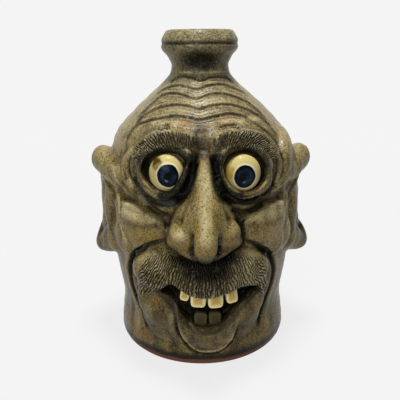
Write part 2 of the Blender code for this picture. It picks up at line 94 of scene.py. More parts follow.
# Painted on each eye: the middles of iris, pupil and stain, to the viewer's right and up from the eye's middle, and
# the stain's colour
EYE_PAINT = {
    "left": ((1.9, -0.4), (2.0, -0.5), (-6.0, 7.8), (0.045, 0.022, 0.003)),
    "right": ((0.0, -1.3), (-1.8, -1.9), (-9.2, 1.5), (0.26, 0.17, 0.022)),
}
IRIS_FLATNESS = 0.91

# Teeth: node, x and z of the middle, width, height, tilt in degrees, how far out from the wall
TEETH = (
    ("tooth_upper_1", -12.2, 67.5, 6.8, 12.5, 12, 7.0),
    ("tooth_upper_2", -2.9, 63.2, 11.4, 14.5, 2, 7.0),
    ("tooth_upper_3", 9.4, 62.2, 11.4, 14.5, -2, 7.0),
    ("tooth_upper_4", 21.0, 64.6, 8.8, 13.5, -8, 7.0),
    ("tooth_lower_1", -1.5, 42.8, 10.0, 11.5, 2, 3.8),
    ("tooth_lower_2", 9.2, 43.0, 9.6, 11.5, -2, 3.8),
)
TOOTH_DEPTH = 5.0
TOOTH_ARC = 75
# The painted shadow that darkens the lower teeth, which sit back in the mouth
LOWER_TEETH_PAINTED_SHADOW = 0.95

# Openings cut before the moustache, lips and lids are laid round them: (x, z) round the edge
MOUTH = (
    (-30.5, 69), (-22, 77), (-8, 78), (10, 78), (28, 77), (40, 67), (36, 61.5), (30, 57),
    (25, 51), (19.5, 44.5), (12, 39.5), (4, 38), (-4, 39), (-11, 43.5), (-16.5, 50), (-20, 58), (-25, 64),
)
EYE_OPENINGS = (
    ((-10, 164.5), (-12.7, 169.5), (-18, 172), (-26, 172), (-33.5, 169), (-39, 164.5), (-41, 158.5),
     (-40.8, 152.5), (-37.5, 146.5), (-31.5, 142.5), (-25, 142), (-20.5, 144.5), (-16.2, 151), (-12.7, 157.5)),
    ((14, 162.5), (17.4, 168), (24, 171), (31.5, 171), (38, 168), (42.5, 163), (45.3, 157), (45.4, 151.5),
     (42.8, 145.5), (37.5, 141), (30.6, 139.5), (24, 141.5), (19.5, 145.5), (16, 152), (14.2, 157.5)),
)

# Forehead folds, from the brows up: (x, z) along each groove
FOLDS = (
    ((-55, 168), (-50, 180), (-40, 185.5), (-29, 188.5), (-18, 190.5), (-9, 190), (-1, 188.5), (9, 190),
     (20, 191.5), (31, 189), (42, 182), (52, 174), (57, 163)),
    ((-54, 174), (-43, 188), (-34, 193.5), (-25, 196.5), (-15, 197.5), (-7, 196.5), (-1, 195), (8, 197),
     (19, 197.5), (29, 195), (38, 191), (48, 184), (56, 174)),
    ((-47, 187), (-38, 195), (-30, 202), (-23, 204.5), (-15, 204.5), (-8, 202.5), (-2, 201.5), (6, 204),
     (15, 204.5), (25, 202), (34, 198), (42, 192), (48, 186)),
    ((-32, 204), (-25, 208), (-17, 210), (-9, 209), (-2, 207.5), (6, 210), (16, 210.5), (25, 207.5), (34, 203)),
    ((-22, 212), (-16, 216), (-10, 216.5), (-4, 215), (1, 213.5), (7, 215.5), (14, 216), (20, 214.5), (25, 211)),
)

# Brows: (x, z, half width) along each
BROWS = (
    ((-45, 165.5, 3.5), (-39.5, 171, 5.5), (-28, 176.8, 6.8), (-16, 177.8, 6.8), (-7, 177.5, 5.5)),
    ((51.5, 164, 3.5), (46, 170.5, 5.2), (38, 175, 6.4), (27, 177.3, 6.8), (17.5, 177.3, 6.6), (12, 177, 5)),
)
# Where the moustache's hair starts and ends: (x, z) along the upper and the lower edge
HAIR_TOP = (
    (-47, 78), (-44, 90), (-37, 97), (-27, 100), (-16, 101), (2, 103), (18, 101), (30, 99), (40, 94), (47, 86),
    (50, 76),
)
HAIR_FOOT = (
    (-47, 62), (-40, 66), (-33, 70), (-22, 72), (-15, 68), (-6, 63), (2, 60), (11, 61), (19, 65), (28, 67),
    (36, 67), (44, 62), (50, 60),
)
# Its strokes fan out from this x and end this far from the middle. Combing counts as hair from this strength up
HAIR_ROOT, HAIR_REACH, COMBED = 2.0, 49, 0.02

# How the glaze finds its hollows, where gathered glaze and painted shade are laid: rounds of smoothing, looks round
# each place, and how far each look goes
FINE_STEPS = 6
BROAD_STEPS = 90
LOOKS_ROUND = 18
SHUT_REACH = 0.016

# Tints that the glaze breaks into. TAN and PALE_STRAND also stand for painted highlights on crests
SHOULDER_ASH, COLLAR_DUSK = (0.200, 0.178, 0.118), (0.085, 0.080, 0.048)
LOW_BROWN, HAIR_BROWN, TAN = (0.032, 0.019, 0.004), (0.022, 0.017, 0.008), (0.34, 0.285, 0.15)
PALE_STRAND, DARK_RUN = (0.29, 0.245, 0.135), (0.024, 0.016, 0.006)
PEPPER, DARK_GRAIN = (0.018, 0.014, 0.006), (0.012, 0.009, 0.004)
PALE_GRAIN, DUSTY_GRAIN, ASH_SPECK = (0.24, 0.20, 0.10), (0.20, 0.17, 0.09), (0.42, 0.40, 0.30)

# In degrees
CAMERA_DIP, CAMERA_LEAN = 16.7, 0.6


def metres(name, default, description):
    return FloatProperty(name=name, default=default, description=description, unit="LENGTH")


def fraction(name, default, description):
    return FloatProperty(name=name, default=default, description=description, subtype="FACTOR")


def watts(name, default, description):
    return FloatProperty(name=name, default=default, description=description, unit="POWER")


def pigment(name, default, description):
    return FloatVectorProperty(name=name, default=default, description=description, subtype="COLOR", size=3)


class JugClay(PropertyGroup):
    grain: metres("Clay grain", 0.0008, "How finely the clay is worked when its pieces are pressed together")
    plain_share: fraction("Plain share", 0.25, "Share of all faces kept when those outside the hair are made fewer")
    hair_share: fraction("Hair share", 0.84, "Share of all faces kept when those in the hair are made fewer")
    hair_pitch: metres("Comb pitch", 0.0017, "Distance between the combed strokes of the brows and moustache")
    hair_depth: metres("Comb depth", 0.0006, "Depth of the combed strokes")
    fold_depth: metres("Fold depth", 0.0021, "Depth of the forehead folds")
    unevenness: metres("Unevenness", 0.00028, "How far the hand-worked surface wanders")
    wheel_lines: metres("Wheel lines", 0.00016, "Depth of the rings that the fingers left on the thrown wall")


class JugGlaze(PropertyGroup):
    ash: pigment("Ash glaze", (0.211, 0.161, 0.060), "Pale khaki glaze on the raised clay")
    olive: pigment("Olive glaze", (0.071, 0.0465, 0.0095), "Olive-brown glaze on the plain surfaces")
    # Its near-black stands both for glaze gathered in the hollows and for painted shade
    pool: pigment("Pooled glaze", (0.0045, 0.0045, 0.0024), "Near-black glaze that gathers in the hollows")
    amber: pigment("Amber glaze", (0.175, 0.115, 0.022), "Ochre patches low on the cheeks, nose and chin")
    rust: pigment("Rust", (0.145, 0.070, 0.016), "Iron-brown breaks in the glaze")
    bare: pigment("Bare clay", (0.105, 0.036, 0.020), "Red-brown unglazed clay at the foot")
    cream: pigment("Eye glaze", (0.32, 0.274, 0.115), "Cream glaze of the eyes")
    enamel: pigment("Tooth glaze", (0.62, 0.53, 0.27), "Cream glaze of the teeth")
    iris: pigment("Iris", (0.0012, 0.0036, 0.0085), "Navy of the painted irises")
    iris_size: metres("Iris radius", 0.0072, "Radius of the painted irises")


class JugStudio(PropertyGroup):
    overhead_power: watts("Overhead light", 17.0, "Soft light straight above the jug")
    front_power: watts("Front light", 7.0, "Soft light in front of the jug, up on the left")
    air: FloatProperty(name="Air light", default=0.12, description="Even light from all round")
    paper_tone: fraction("Paper tone", 0.05, "Share of the light that the paper sends back")
    paper_look: FloatProperty(name="Paper look", default=0.90,
                              description="How bright the paper looks, and the room past its edges")
    focal_share: FloatProperty(name="Focal share", default=523 / 400,
                               description="Focal length as a share of the picture's width")
    camera_height: metres("Camera height", 0.240, "Height of the camera")
    camera_distance: metres("Camera distance", 0.420, "How far the camera stands in front of the jug's axis")


def catmull(points, steps):
    """Points along a smooth curve through the given ones, steps to each span."""
    p = np.array(points, float)
    p = np.vstack([2 * p[0] - p[1], p, 2 * p[-1] - p[-2]])
    found = []
    for a, b, c, d in zip(p[:-3], p[1:-2], p[2:-1], p[3:]):
        for t in np.arange(steps) / steps:
            found.append(0.5 * (2 * b + (c - a) * t + (2 * a - 5 * b + 4 * c - d) * t**2
                                + (3 * b - a - 3 * c + d) * t**3))
    return np.array(found + [p[-2]])


OUTER = catmull(OUTSIDE, 4)


def wall_radius(z):
    return np.interp(z, OUTER[:, 1], OUTER[:, 0])


def wall_point(x, z, out=0.0):
    """A point in front of the thrown wall and out from it, all in face measures, given in metres."""
    radius = wall_radius(z) + out
    return Vector((x, -math.sqrt(max(radius**2 - x**2, 0.0)), z)) * FACE


def side_point(side, y, z, out=0.0):
    """The same at the side of the head, with y given. Side is -1 on the left and 1 on the right."""
    radius = wall_radius(z) + out
    return Vector((side * math.sqrt(max(radius**2 - y**2, 0.0)), y, z)) * FACE


def only(obj):
    """Selects one object, and makes it the active one."""
    bpy.ops.object.select_all(action="DESELECT")
    obj.select_set(True)
    bpy.context.view_layer.objects.active = obj
    return obj


def modified(obj, kind, **settings):
    """Puts a modifier on an object and applies it."""
    only(obj)
    modifier = obj.modifiers.new(kind.title(), kind)
    for name, value in settings.items():
        setattr(modifier, name, value)
    bpy.ops.object.modifier_apply(modifier=modifier.name)
    return obj


@contextmanager
def editing(obj, chosen="SELECT"):
    """Edit mode on one object, begun with all or none of it selected, or with what is selected now."""
    only(obj)
    bpy.ops.object.mode_set(mode="EDIT")
    if chosen:
        bpy.ops.mesh.select_all(action=chosen)
    yield
    bpy.ops.object.mode_set(mode="OBJECT")


def joined(body, others):
    """Makes one object of a body and others."""
    only(body)
    for obj in others:
        obj.select_set(True)
    if others:
        bpy.ops.object.join()
    return body


def outlined(name, points, closed=False):
    """A new object of points joined in a row, and the last to the first where it is closed."""
    count = len(points)
    mesh = bpy.data.meshes.new(name)
    mesh.from_pydata(points, [(i, (i + 1) % count) for i in range(count if closed else count - 1)], [])
    obj = bpy.data.objects.new(name, mesh)
    bpy.context.collection.objects.link(obj)
    return obj


def thrown(name, stations):
    """A solid thrown on the wheel: its profile, closed to the axis at both ends, is spun round."""
    rows = [(0.0, stations[0][1]), *[tuple(s) for s in stations], (0.0, stations[-1][1])]
    obj = outlined(name, [(r * FACE, 0, z * FACE) for r, z in rows])
    with editing(obj):
        bpy.ops.mesh.spin(steps=WHEEL_STEPS, angle=math.tau, center=(0, 0, 0), axis=(0, 0, 1))
        bpy.ops.mesh.select_all(action="SELECT")
        bpy.ops.mesh.remove_doubles(threshold=WELD)
        bpy.ops.mesh.normals_make_consistent(inside=False)
    return obj


def ball(centre, radii, turn=0.0, detail=5):
    """A ball of clay pressed to three radii in face measures and turned about z."""
    bpy.ops.object.select_all(action="DESELECT")
    bpy.ops.mesh.primitive_ico_sphere_add(subdivisions=detail, radius=FACE, location=centre, rotation=(0, 0, turn),
                                          scale=radii)
    return bpy.context.object


def roll(stations, fullness=1.0, sides=24):
    """A ball of clay rolled out through stations of (centre, half width, half thickness). It lies on the wall
    behind it, its width along the wall and its thickness out from it, in face measures. A fullness below 1
    squares up its round section."""
    rows = catmull([(*centre, wide * FACE, thick * FACE) for centre, wide, thick in stations], 6)
    centres, wide, thick = rows[:, :3], rows[:, 3], rows[:, 4]
    along = np.gradient(centres, axis=0)
    along /= np.linalg.norm(along, axis=1)[:, None]
    out = centres * (1, 1, 0)
    out -= along * np.sum(out * along, axis=1)[:, None]
    out /= np.linalg.norm(out, axis=1)[:, None]
    across = np.cross(along, out)
    # Each ring of the ball goes to its own place along the roll, and the first and last few round off the ends
    ends = (1.35, 0.95, 0.5)
    places = [(0, -math.sin(a), math.cos(a)) for a in ends] + [(row, 0, 1) for row in range(len(rows))]
    places += [(len(rows) - 1, math.sin(a), math.cos(a)) for a in reversed(ends)]
    bpy.ops.object.select_all(action="DESELECT")
    bpy.ops.mesh.primitive_uv_sphere_add(segments=sides, ring_count=len(places) + 1, radius=1)
    obj = bpy.context.object
    verts = np.array([v.co for v in obj.data.vertices])
    rank = np.rint((1 - np.arccos(np.clip(verts[:, 2], -1, 1)) / math.pi) * (len(places) + 1)).astype(int)
    angle = np.arctan2(verts[:, 1], verts[:, 0])
    section = [np.copysign(np.abs(part) ** fullness, part) for part in (np.cos(angle), np.sin(angle))]
    row, push, shrink = (np.array(column) for column in zip(*places))
    reach = np.minimum(wide, thick)[row]
    spot = np.clip(rank - 1, 0, len(places) - 1)
    middle = centres[row] + along[row] * (push * reach)[:, None]
    where = (middle[spot] + across[row][spot] * (wide[row] * shrink)[spot, None] * section[0][:, None]
             + out[row][spot] * (thick[row] * shrink)[spot, None] * section[1][:, None])
    where[rank == 0] = centres[0] - along[0] * reach[0]
    where[rank == len(places) + 1] = centres[-1] + along[-1] * reach[-1]
    moved(obj, where)
    with editing(obj):
        bpy.ops.mesh.normals_make_consistent(inside=False)
    return obj


def wall_roll(stations, fullness=1.0):
    """A roll laid on the front of the jug, its stations given as (x, z, out, half width, half thickness)."""
    return roll([(wall_point(x, z, out), wide, thick) for x, z, out, wide, thick in stations], fullness)


def slab(outline, near, far):
    """A cutter with an outline in x and z, in face measures, running back from y near to y far in metres."""
    smooth = catmull([*outline, *outline[:3]], 5)[5:5 + len(outline) * 5] * FACE
    obj = outlined("slab", [(x, near, z) for x, z in smooth], closed=True)
    with editing(obj):
        bpy.ops.mesh.edge_face_add()
        bpy.ops.mesh.extrude_region_move(TRANSFORM_OT_translate={"value": (0, far - near, 0)})
        bpy.ops.mesh.select_all(action="SELECT")
        bpy.ops.mesh.normals_make_consistent(inside=False)
    return obj


def cut(body, cutters):
    """Cuts closed forms that don't touch each other out of a body, and clears them away."""
    cutter = joined(cutters[0], cutters[1:])
    modified(body, "BOOLEAN", operation="DIFFERENCE", solver="MANIFOLD", object=cutter)
    bpy.data.objects.remove(cutter)
    return body


def mesh_arrays(clay):
    count = len(clay.data.vertices)
    places, normals = np.empty(count * 3), np.empty(count * 3)
    clay.data.vertices.foreach_get("co", places)
    clay.data.vertex_normals.foreach_get("vector", normals)
    return places.reshape(-1, 3), normals.reshape(-1, 3)


def moved(clay, places):
    clay.data.vertices.foreach_set("co", places.ravel())
    clay.data.update()
    return clay


def partly(clay, kind, rows, **settings):
    """Applies a modifier to parts of the clay, given as rows of (chosen vertices, how much)."""
    group = clay.vertex_groups.new(name="parts")
    for chosen, weight in rows:
        group.add([int(i) for i in np.flatnonzero(chosen)], weight, "REPLACE")
    modified(clay, kind, vertex_group=group.name, **settings)
    clay.vertex_groups.clear()
    return clay


def fused(body, lumps, smoothing, grain):
    """Presses lumps of clay onto the body and smooths the joins, as a given number of strokes of the thumb would."""
    modified(joined(body, lumps), "REMESH", mode="VOXEL", voxel_size=grain)
    heights = mesh_arrays(body)[0][:, 2]
    soft = (heights > CRISP_FOOT) & (heights < NECK * FACE)
    strokes = round(smoothing * (THUMB_GRAIN / grain) ** 2)
    return partly(body, "SMOOTH", [(soft, 1.0)], factor=0.5, iterations=strokes)


def opening(outline, wall):
    """A cutter running straight back to a floor that leaves the given wall in front of the hollow."""
    return cut(slab(outline, -0.2, -0.03), [thrown("core", [(r + wall, z) for r, z in catmull(INSIDE, 3)])])


def on_skin(clay, points, steps=6):
    """A path laid on the front of the clay as it is now: smooth, through (x, z) in face measures."""
    bpy.context.view_layer.update()
    found = []
    for x, z in catmull(points, steps) * FACE:
        hit, place, _, _ = clay.ray_cast(Vector((x, -1, z)), Vector((0, 1, 0)))
        if hit:
            found.append(place)
    return np.array(found)


def nearest_on(path, places):
    """How far each place is from a path, and how far along the path it is, as a share."""
    start, step = path[:-1], np.diff(path, axis=0)
    length = np.sum(step**2, axis=1) + 1e-12
    away, share = np.full(len(places), 9.0), np.zeros(len(places))
    for i in range(len(start)):
        t = np.clip((places - start[i]) @ step[i] / length[i], 0, 1)
        d = np.linalg.norm(places - start[i] - t[:, None] * step[i], axis=1)
        closer = d < away
        away[closer] = d[closer]
        share[closer] = (i + t[closer]) / len(start)
    return away, share


def worked(clay, strokes):
    """Pushes the surface in along grooves and out along ridges. A stroke is (path, half width, depth, banks):
    depth is pushed in along the path, and banks is how high the clay rises beside it, in face measures."""
    places, normals = mesh_arrays(clay)
    push = np.zeros(len(places))
    for path, width, depth, banks in strokes:
        reach = 3 * width * FACE if banks else width * FACE
        near = np.flatnonzero(np.all((places > path.min(0) - reach) & (places < path.max(0) + reach), axis=1))
        away, share = nearest_on(path, places[near])
        fade = np.clip(7 * share * (1 - share), 0, 1)
        across = away / (width * FACE)
        groove = np.where(across < 1, (1 - np.clip(across, 0, 1) ** 2) ** 2, 0)
        bank = np.where((across > 0.7) & (across < 3), np.sin(np.clip((across - 0.7) / 2.3, 0, 1) * math.pi), 0)
        push[near] += fade * (banks * bank - depth * groove) * FACE
    return moved(clay, places + normals * push[:, None])


def nose():
    """A wedge built of three rolls, each narrower and further out than the last, and a wing on each side."""
    ridge = ((2.2, 170, -1, 3.2, 3), (2.2, 160, 2.5, 4.5, 4.8), (2.6, 148, 7, 6.4, 6.6), (3.2, 134, 12.5, 8, 8.6),
             (3.2, 121, 18, 9.4, 10), (2.6, 111, 22, 9.2, 10.5), (2.4, 104.5, 22, 7, 7.5))
    slopes = ((2.2, 164, -1, 4.6, 4.6), (2.4, 150, 4.2, 8.6, 8.0), (2.6, 137, 8.4, 12, 10.4),
              (2.4, 124, 12.2, 15.2, 12), (2.1, 114, 12.5, 16.6, 12), (2, 108.5, 11, 16.5, 9))
    flanks = ((2, 163, -4, 5.5, 6), (2, 150, -2, 10.5, 9.5), (2, 137, 0, 16, 12.5), (2, 124, 1, 21.5, 14.5),
              (1.5, 114, 1, 25, 14), (1.5, 109, 1, 25, 11))
    under_left = ((-20, 109, 9, 4, 4.5), (-12, 104, 14, 4, 4.5), (-4, 101, 18, 4, 4.5))
    under_right = ((25, 106.5, 7, 4, 4), (15, 103.5, 13.5, 4, 4.5), (8, 101, 18, 4, 4.5))
    return [wall_roll(one) for one in (ridge, slopes, flanks, under_left, under_right)] + [
        ball(wall_point(-14, 114, 10.5), (8.8, 10.5, 9.5)),
        ball(wall_point(-18, 108.2, 7.5), (6.8, 9, 5.2)),
        ball(wall_point(18, 114.5, 10.5), (9, 10, 10)),
        ball(wall_point(21.5, 107.5, 7.5), (6.6, 9, 4.8)),
    ]


def cheeks():
    """Flat-topped cheekbones, the clay below them falling to the smile fold."""
    left = ((-58, 116, -4, 10, 6), (-50.5, 114.5, -1, 15.5, 9), (-40, 111, 1, 16.5, 9.5), (-29, 109, 0, 12, 7))
    right = ((60.5, 115, -4, 10, 6), (53, 114, -1, 15.5, 9), (43, 111, 1, 16.5, 9.5), (32, 109, 0, 12, 7))
    below = [ball(wall_point(x, z, out), radii) for x, z, out, *radii in (
        (-46, 100, -2.5, 14, 10, 15), (-35, 104, -1, 11, 9, 10), (-56, 101, -4.5, 11, 12, 17),
        (48, 100, -2.5, 14, 10, 15), (38, 104, -1, 11, 9, 10), (58.5, 101, -4.5, 11, 12, 17))]
    return [wall_roll(one, 0.8) for one in (left, right)] + below


def eye_mounds():
    """The bags, and the soft rim on the outer side of each eye."""
    left = ((-43, 168, 3), (-49, 163, 5), (-53, 156, 6), (-53.5, 148, 5.5), (-49, 140, 3.5))
    right = ((49, 167, 3), (54.5, 160, 5), (57.5, 152, 6), (56.5, 144, 5), (52, 138, 3.5))
    rims = [wall_roll([(x, z, -0.5, wide, 4) for x, z, wide in one]) for one in (left, right)]
    return [ball(wall_point(x, z, -2), (21, 12, 24)) for x, z in ((-23.4, 153.2), (28.7, 152.4))] + rims


def head_masses():
    """The bulge round the mouth, the chin, and the forehead's clay over one temple."""
    return [
        ball(wall_point(-1, 82, -8), (50, 22, 25)),
        ball(wall_point(-1, 58, -8), (48, 13.5, 36)),
        ball(wall_point(-1, 48, -14), (46, 18, 46)),
        ball(wall_point(3.5, 37, -4.5), (24, 15.5, 23.5)),
        ball(side_point(1, -14, 156, -10.2), (11.4, 34, 23)),
    ]


def lids():
    """Above and below each eye a rolled rim, and on the nose side a fold that laps over the ball."""
    lower_left = ((-42.5, 156.5), (-41, 150), (-37, 145), (-31, 141.6), (-25, 140.5), (-19.5, 142))
    lower_right = ((19.5, 144.5), (25, 140.6), (31, 139.2), (37, 140), (42.5, 143.5), (46.3, 149), (47, 155.5))
    inner_left = ((-6.5, 168, 1, 1.4), (-8.2, 163.5, 3.2, 1.8), (-10.2, 157, 5, 2.4), (-13.2, 150.5, 6.2, 2.8),
                  (-17.6, 144, 6.6, 2.8), (-24, 140.5, 6.6, 2.2))
    inner_right = ((13.5, 167, 1, 1.4), (12.9, 162.5, 3.4, 1.6), (13.2, 157, 5.2, 1.9), (15.2, 150.2, 6.4, 2.1),
                   (20, 143.5, 6.6, 2.1), (26, 140, 6.6, 1.9))
    upper_left = ((-43, 160.5), (-39.5, 166), (-32.5, 170.3), (-24, 172.6), (-15, 172.2), (-8.8, 168.5), (-6.2, 164))
    upper_right = ((12.5, 164), (16, 169.3), (23, 172.2), (32, 172), (40, 168.5), (45, 163), (47.5, 157))
    return [wall_roll([(x, z, 6.1, 2.6, 3.0) for x, z in one]) for one in (lower_left, lower_right)] + [
        wall_roll([(x, z, 5.2, 3.2, 4.2) for x, z in one]) for one in (upper_left, upper_right)] + [
        wall_roll([(x, z, out, wide, 3.6) for x, z, out, wide in one]) for one in (inner_left, inner_right)]


def lower_lip():
    rim = ((-29, 64, 3), (-24, 57, 4), (-18.5, 48, 4), (-12, 39.5, 4.2), (-3.5, 34.5, 4.5), (4, 33.2, 4.5),
           (12, 34.7, 4.5), (19.5, 40, 4.2), (26, 48.5, 4), (33, 56, 3.6), (38, 62, 3))
    return [wall_roll([(x, z, 4.6, wide - 1, 4.4) for x, z, wide in rim])]


def brows():
    """The two brows, their inner ends running down into the root of the nose."""
    roots = (((-3.8, 173.5), (-3.2, 168.5)), ((8.6, 173), (8.4, 168)))
    return [ball(wall_point(2.3, 173, 0), (6.5, 4.5, 9))] + [
        wall_roll([(x, z, 6.2, wide, 5.2) for x, z, wide in one] + [(*root[0], 3.5, 4, 4), (*root[1], 1, 3, 3)], 0.6)
        for one, root in zip(BROWS, roots)]


def moustache():
    stations = (
        (-43, 68, 3, 4.5), (-40, 75, 5, 6.5), (-33.5, 81.5, 7, 9), (-24, 86, 7.5, 10.5), (-14, 84.5, 8, 12),
        (-4, 79.5, 8.5, 13.5), (4, 78.3, 8.5, 13.5), (14, 80, 8.5, 13), (24, 82.5, 8, 12), (34, 80.5, 7, 10),
        (40, 76, 5, 7.5), (43.5, 67.5, 3, 4.5),
    )
    return [wall_roll([(x, z, out, wide, 6.5) for x, z, out, wide in stations], 0.75)]


def ear(side):
    """The rim from the top knob down to the lobe, the soft fans of clay that join both to the head, the bowl, and
    its thin front crest."""
    waist = -3.2 if side > 0 else 0.0
    rim = ((-4, 141, 3, 5), (4, 136, 6.5 + waist, 4.5), (10, 126, 8.3 + waist, 4), (12, 112, 8.8 + waist, 4),
           (10, 98, 8.3 + waist, 4.5), (3, 86, 10, 6), (-5, 79.5, 11, 6.5), (-13, 80, 5, 6))
    crest = ((0, 139, 8 + waist / 2, 2.4), (-14, 136, 4.5, 2.2), (-29, 128, 1.6, 2), (-37, 117, 0.8, 2),
             (-39, 105, 0.5, 2), (-36, 95, 0.5, 2.2), (-27, 87, 1, 3), (-14, 82, 4, 4.5))
    lumps = (
        (-6, 151.5, 6, 10, 10.5, 11.5), (-11, 150.5, 3.5, 10, 11, 11.5), (-17, 149, 0, 10, 12, 12),
        (-24, 147, -3.5, 9.5, 13, 12), (-32, 145, -6, 9, 13, 12),
        (-8, 83, 4, 9, 9, 11), (-14, 87, 1.5, 9, 10, 12), (-21, 91, -2, 9, 12, 13), (-29, 97, -5, 8.5, 12, 14),
        (-14, 113, -2.5, 9, 14, 30), (-33, 113, -7, 9, 16, 32), (1, 98, 1.5 + 0.5 * waist, 9.5, 11, 16),
    )
    return [
        roll([(side_point(side, y, z, out), r, r) for y, z, out, r in rim]),
        roll([(side_point(side, y, z, out), r, r) for y, z, out, r in crest]),
        ball(side_point(side, 2, 116, 1.8 + 0.7 * waist), (8.5, 14, 33), turn=-0.12 * side),
        *[ball(side_point(side, y, z, out), radii) for y, z, out, *radii in lumps],
    ]


# Lines that the clay and its glaze both follow: (x, z) along each
SMILES = (((-27, 107), (-38, 102), (-47, 94), (-53.5, 84), (-56, 72), (-55, 58), (-51, 45), (-46, 34), (-44, 26)),
          ((30, 106), (40, 100), (48, 91), (53, 82), (55.5, 71), (54, 58), (50, 46), (45.5, 35), (44, 27)))
EAR_CRESTS = (
    ((-81, 143.5), (-76, 142.7), (-71, 140.8), (-66, 136.5), (-62.5, 131), (-61, 123.5), (-60.7, 114), (-58.6, 107),
     (-55.6, 100)),
    ((79.5, 144), (74, 140), (69, 134), (65, 129), (63.8, 122), (64.5, 114), (66, 106), (67, 99)),
)
TEMPLE_LINES = (
    ((-66, 152), (-63.9, 145), (-59.1, 139.2), (-53.7, 134.6)),
    ((51.3, 135.8), (58.7, 137.5), (64.6, 142), (67, 150)),
)
EYE_WRINKLES = (
    ((-51, 171), (-55.5, 163), (-56.5, 153), (-52.5, 144)), ((-47.5, 167), (-51, 159.5), (-51, 150), (-47.5, 142.5)),
    ((-58, 166), (-60.5, 157), (-59.5, 148)), ((55, 168), (59, 160), (60, 150), (56.5, 141)),
    ((51.5, 165), (54.6, 158), (55, 149), (52, 140.5)), ((62, 163), (64, 155), (63, 147)),
)
GUTTERS = (
    ((-4.8, 166), (-5.6, 158), (-8.4, 149), (-12.6, 141), (-18.5, 135.5), (-27, 133.2), (-35, 135.2), (-41, 139.5),
     (-45.5, 146)),
    ((9.5, 165), (10.2, 154), (13, 144.5), (18.5, 137.8), (26.5, 134.6), (35.5, 134), (43.5, 136.5), (49.5, 141)),
)
CLEFT = ((0.5, 182.5), (0.6, 178), (1.4, 173), (2, 169))
CHIN_LINE = ((-20, 56), (-18.3, 45.9), (-17, 35), (-14.2, 26.4), (-9.8, 18.6), (-4.5, 15.5), (1.6, 14.1), (10, 14),
             (16.9, 17.4), (21.4, 24.3), (24.3, 31.1), (26.5, 41.2))
LIP_LINE = ((-9.2, 41.5), (-6.4, 37.2), (-2.7, 34.6), (1.6, 32.6), (7.2, 32.5), (14.1, 34.8), (18.5, 40))
CHEEK_TOPS = (((-60, 126), (-53, 127.5), (-45, 126.5), (-37, 123), (-29, 118.5), (-25, 114.5)),
              ((62, 125), (55.5, 126.5), (48, 126), (40, 123), (32, 118.5), (28, 114.5)))


def lined(clay, *rows):
    """Strokes along paths on the front of the clay. A row is paths, half width, depth and banks."""
    return worked(clay, [(on_skin(clay, path), *shape) for paths, *shape in rows for path in paths])


def folds(clay, depth):
    """The folds and creases that show from a step away."""
    over_brows = (((-47, 166), (-42, 173), (-35, 180), (-27, 184), (-17, 184.5), (-8, 183.5)),
                  ((11, 182.5), (19, 184.5), (30, 183.5), (39.5, 180.5), (46.5, 175), (53, 166)))
    chin_edge = ((-22, 58), (-20.5, 46), (-19, 35), (-16, 26), (-11, 18), (-5, 13.5), (3, 12), (11, 12.5),
                 (18.5, 16), (23.5, 24), (26.5, 31), (29, 42))
    beside_tip = (((-7, 121), (-6.6, 115), (-6.4, 110), (-7, 103)), ((12, 118), (11.6, 113), (11.2, 108), (11, 102)))
    bags = (((-45, 138.5), (-39.5, 132), (-33.5, 127.5), (-27, 124.5), (-20, 125)),
            ((19, 130), (26, 126), (34, 125), (41, 127.5), (48, 132.5)))
    return lined(clay, (SMILES, 2.9, 5.0, 0.6), (FOLDS, 1.3, depth, 0.6), ((CLEFT,), 7.0, 2.0, 0.2),
                 (over_brows, 2.2, 1.8, 0.3), ((chin_edge,), 1.9, 2.4, 0.4), (beside_tip, 3.2, 2.4, 0.2),
                 (GUTTERS, 4.2, 6.5, 0.3), (bags, 2.2, 2.0, 0.5))


def raised(paths, by):
    """Paths given as (x, z), moved up."""
    return [[(x, z + by) for x, z in path] for path in paths]


def creases(clay):
    """The finer lines: rings round the lower lids, second lines over the forehead folds, the flat tops of the
    cheekbones, and the thin raised edges of the chin and lip."""
    lids_below = (((-44, 153), (-41.5, 147), (-37, 142.3), (-31, 139.4), (-24.5, 138.4), (-18, 140)),
                  ((18, 142.5), (24.5, 138), (31, 136.6), (37.5, 137.6), (43.5, 141), (48, 147), (49.3, 153)))
    rings = [(raised(lids_below, by), 0.95, depth, 0.45) for by, depth in ((2.4, 1.1), (0.5, 0.9), (-1.5, 0.9))]
    return lined(clay, *rings, ((CHIN_LINE,), 1.5, -1.1, 0), ((LIP_LINE,), 1.3, -0.8, 0),
                 (raised([path[1:-1] for path in FOLDS], 2.6), 0.8, 0.6, 0.1),
                 (raised([path[2:-2] for path in FOLDS], -2.1), 0.7, 0.4, 0.1),
                 (CHEEK_TOPS, 3.0, -1.4, -0.25), (EAR_CRESTS, 1.8, -1.3, -0.1), (EYE_WRINKLES, 1.0, 0.7, 0.25),
                 (TEMPLE_LINES, 1.6, -0.8, 0))


def uneven(clay, amount, wheel_lines):
    """Lets the surface wander as hand-worked clay does, and leaves finger rings where the wall is bare."""
    places, normals = mesh_arrays(clay)
    face = places / FACE
    push = np.array([noise.noise(Vector(p) * 0.07) + 0.45 * noise.noise(Vector(p) * 0.19) for p in face]) * amount
    for centre in EYE_CENTRES.values():
        set_back = np.linalg.norm((places - centre) / FACE / EYE_RADII, axis=1)
        push *= smooth_step(set_back, 1.1, 1.3)
    in_gums = (face[:, 1] < -40) & (np.abs(face[:, 2] - 56) < 21) & (np.abs(face[:, 0] - 4) < 27)
    push[in_gums | (face[:, 2] < 3)] = 0
    proud = np.hypot(face[:, 0], face[:, 1]) - wall_radius(face[:, 2])
    bare_wall = np.clip(1 - np.abs(proud) / 1.5, 0, 1) * np.clip((face[:, 1] + 30) / 30, 0, 1)
    push += wheel_lines * bare_wall * np.sin(face[:, 2] * 0.75 + 1.3 * np.sin(face[:, 2] * 0.11))
    return moved(clay, places + normals * push[:, None])


def smooth_step(values, low, high):
    t = np.clip((values - low) / (high - low), 0, 1)
    return t * t * (3 - 2 * t)


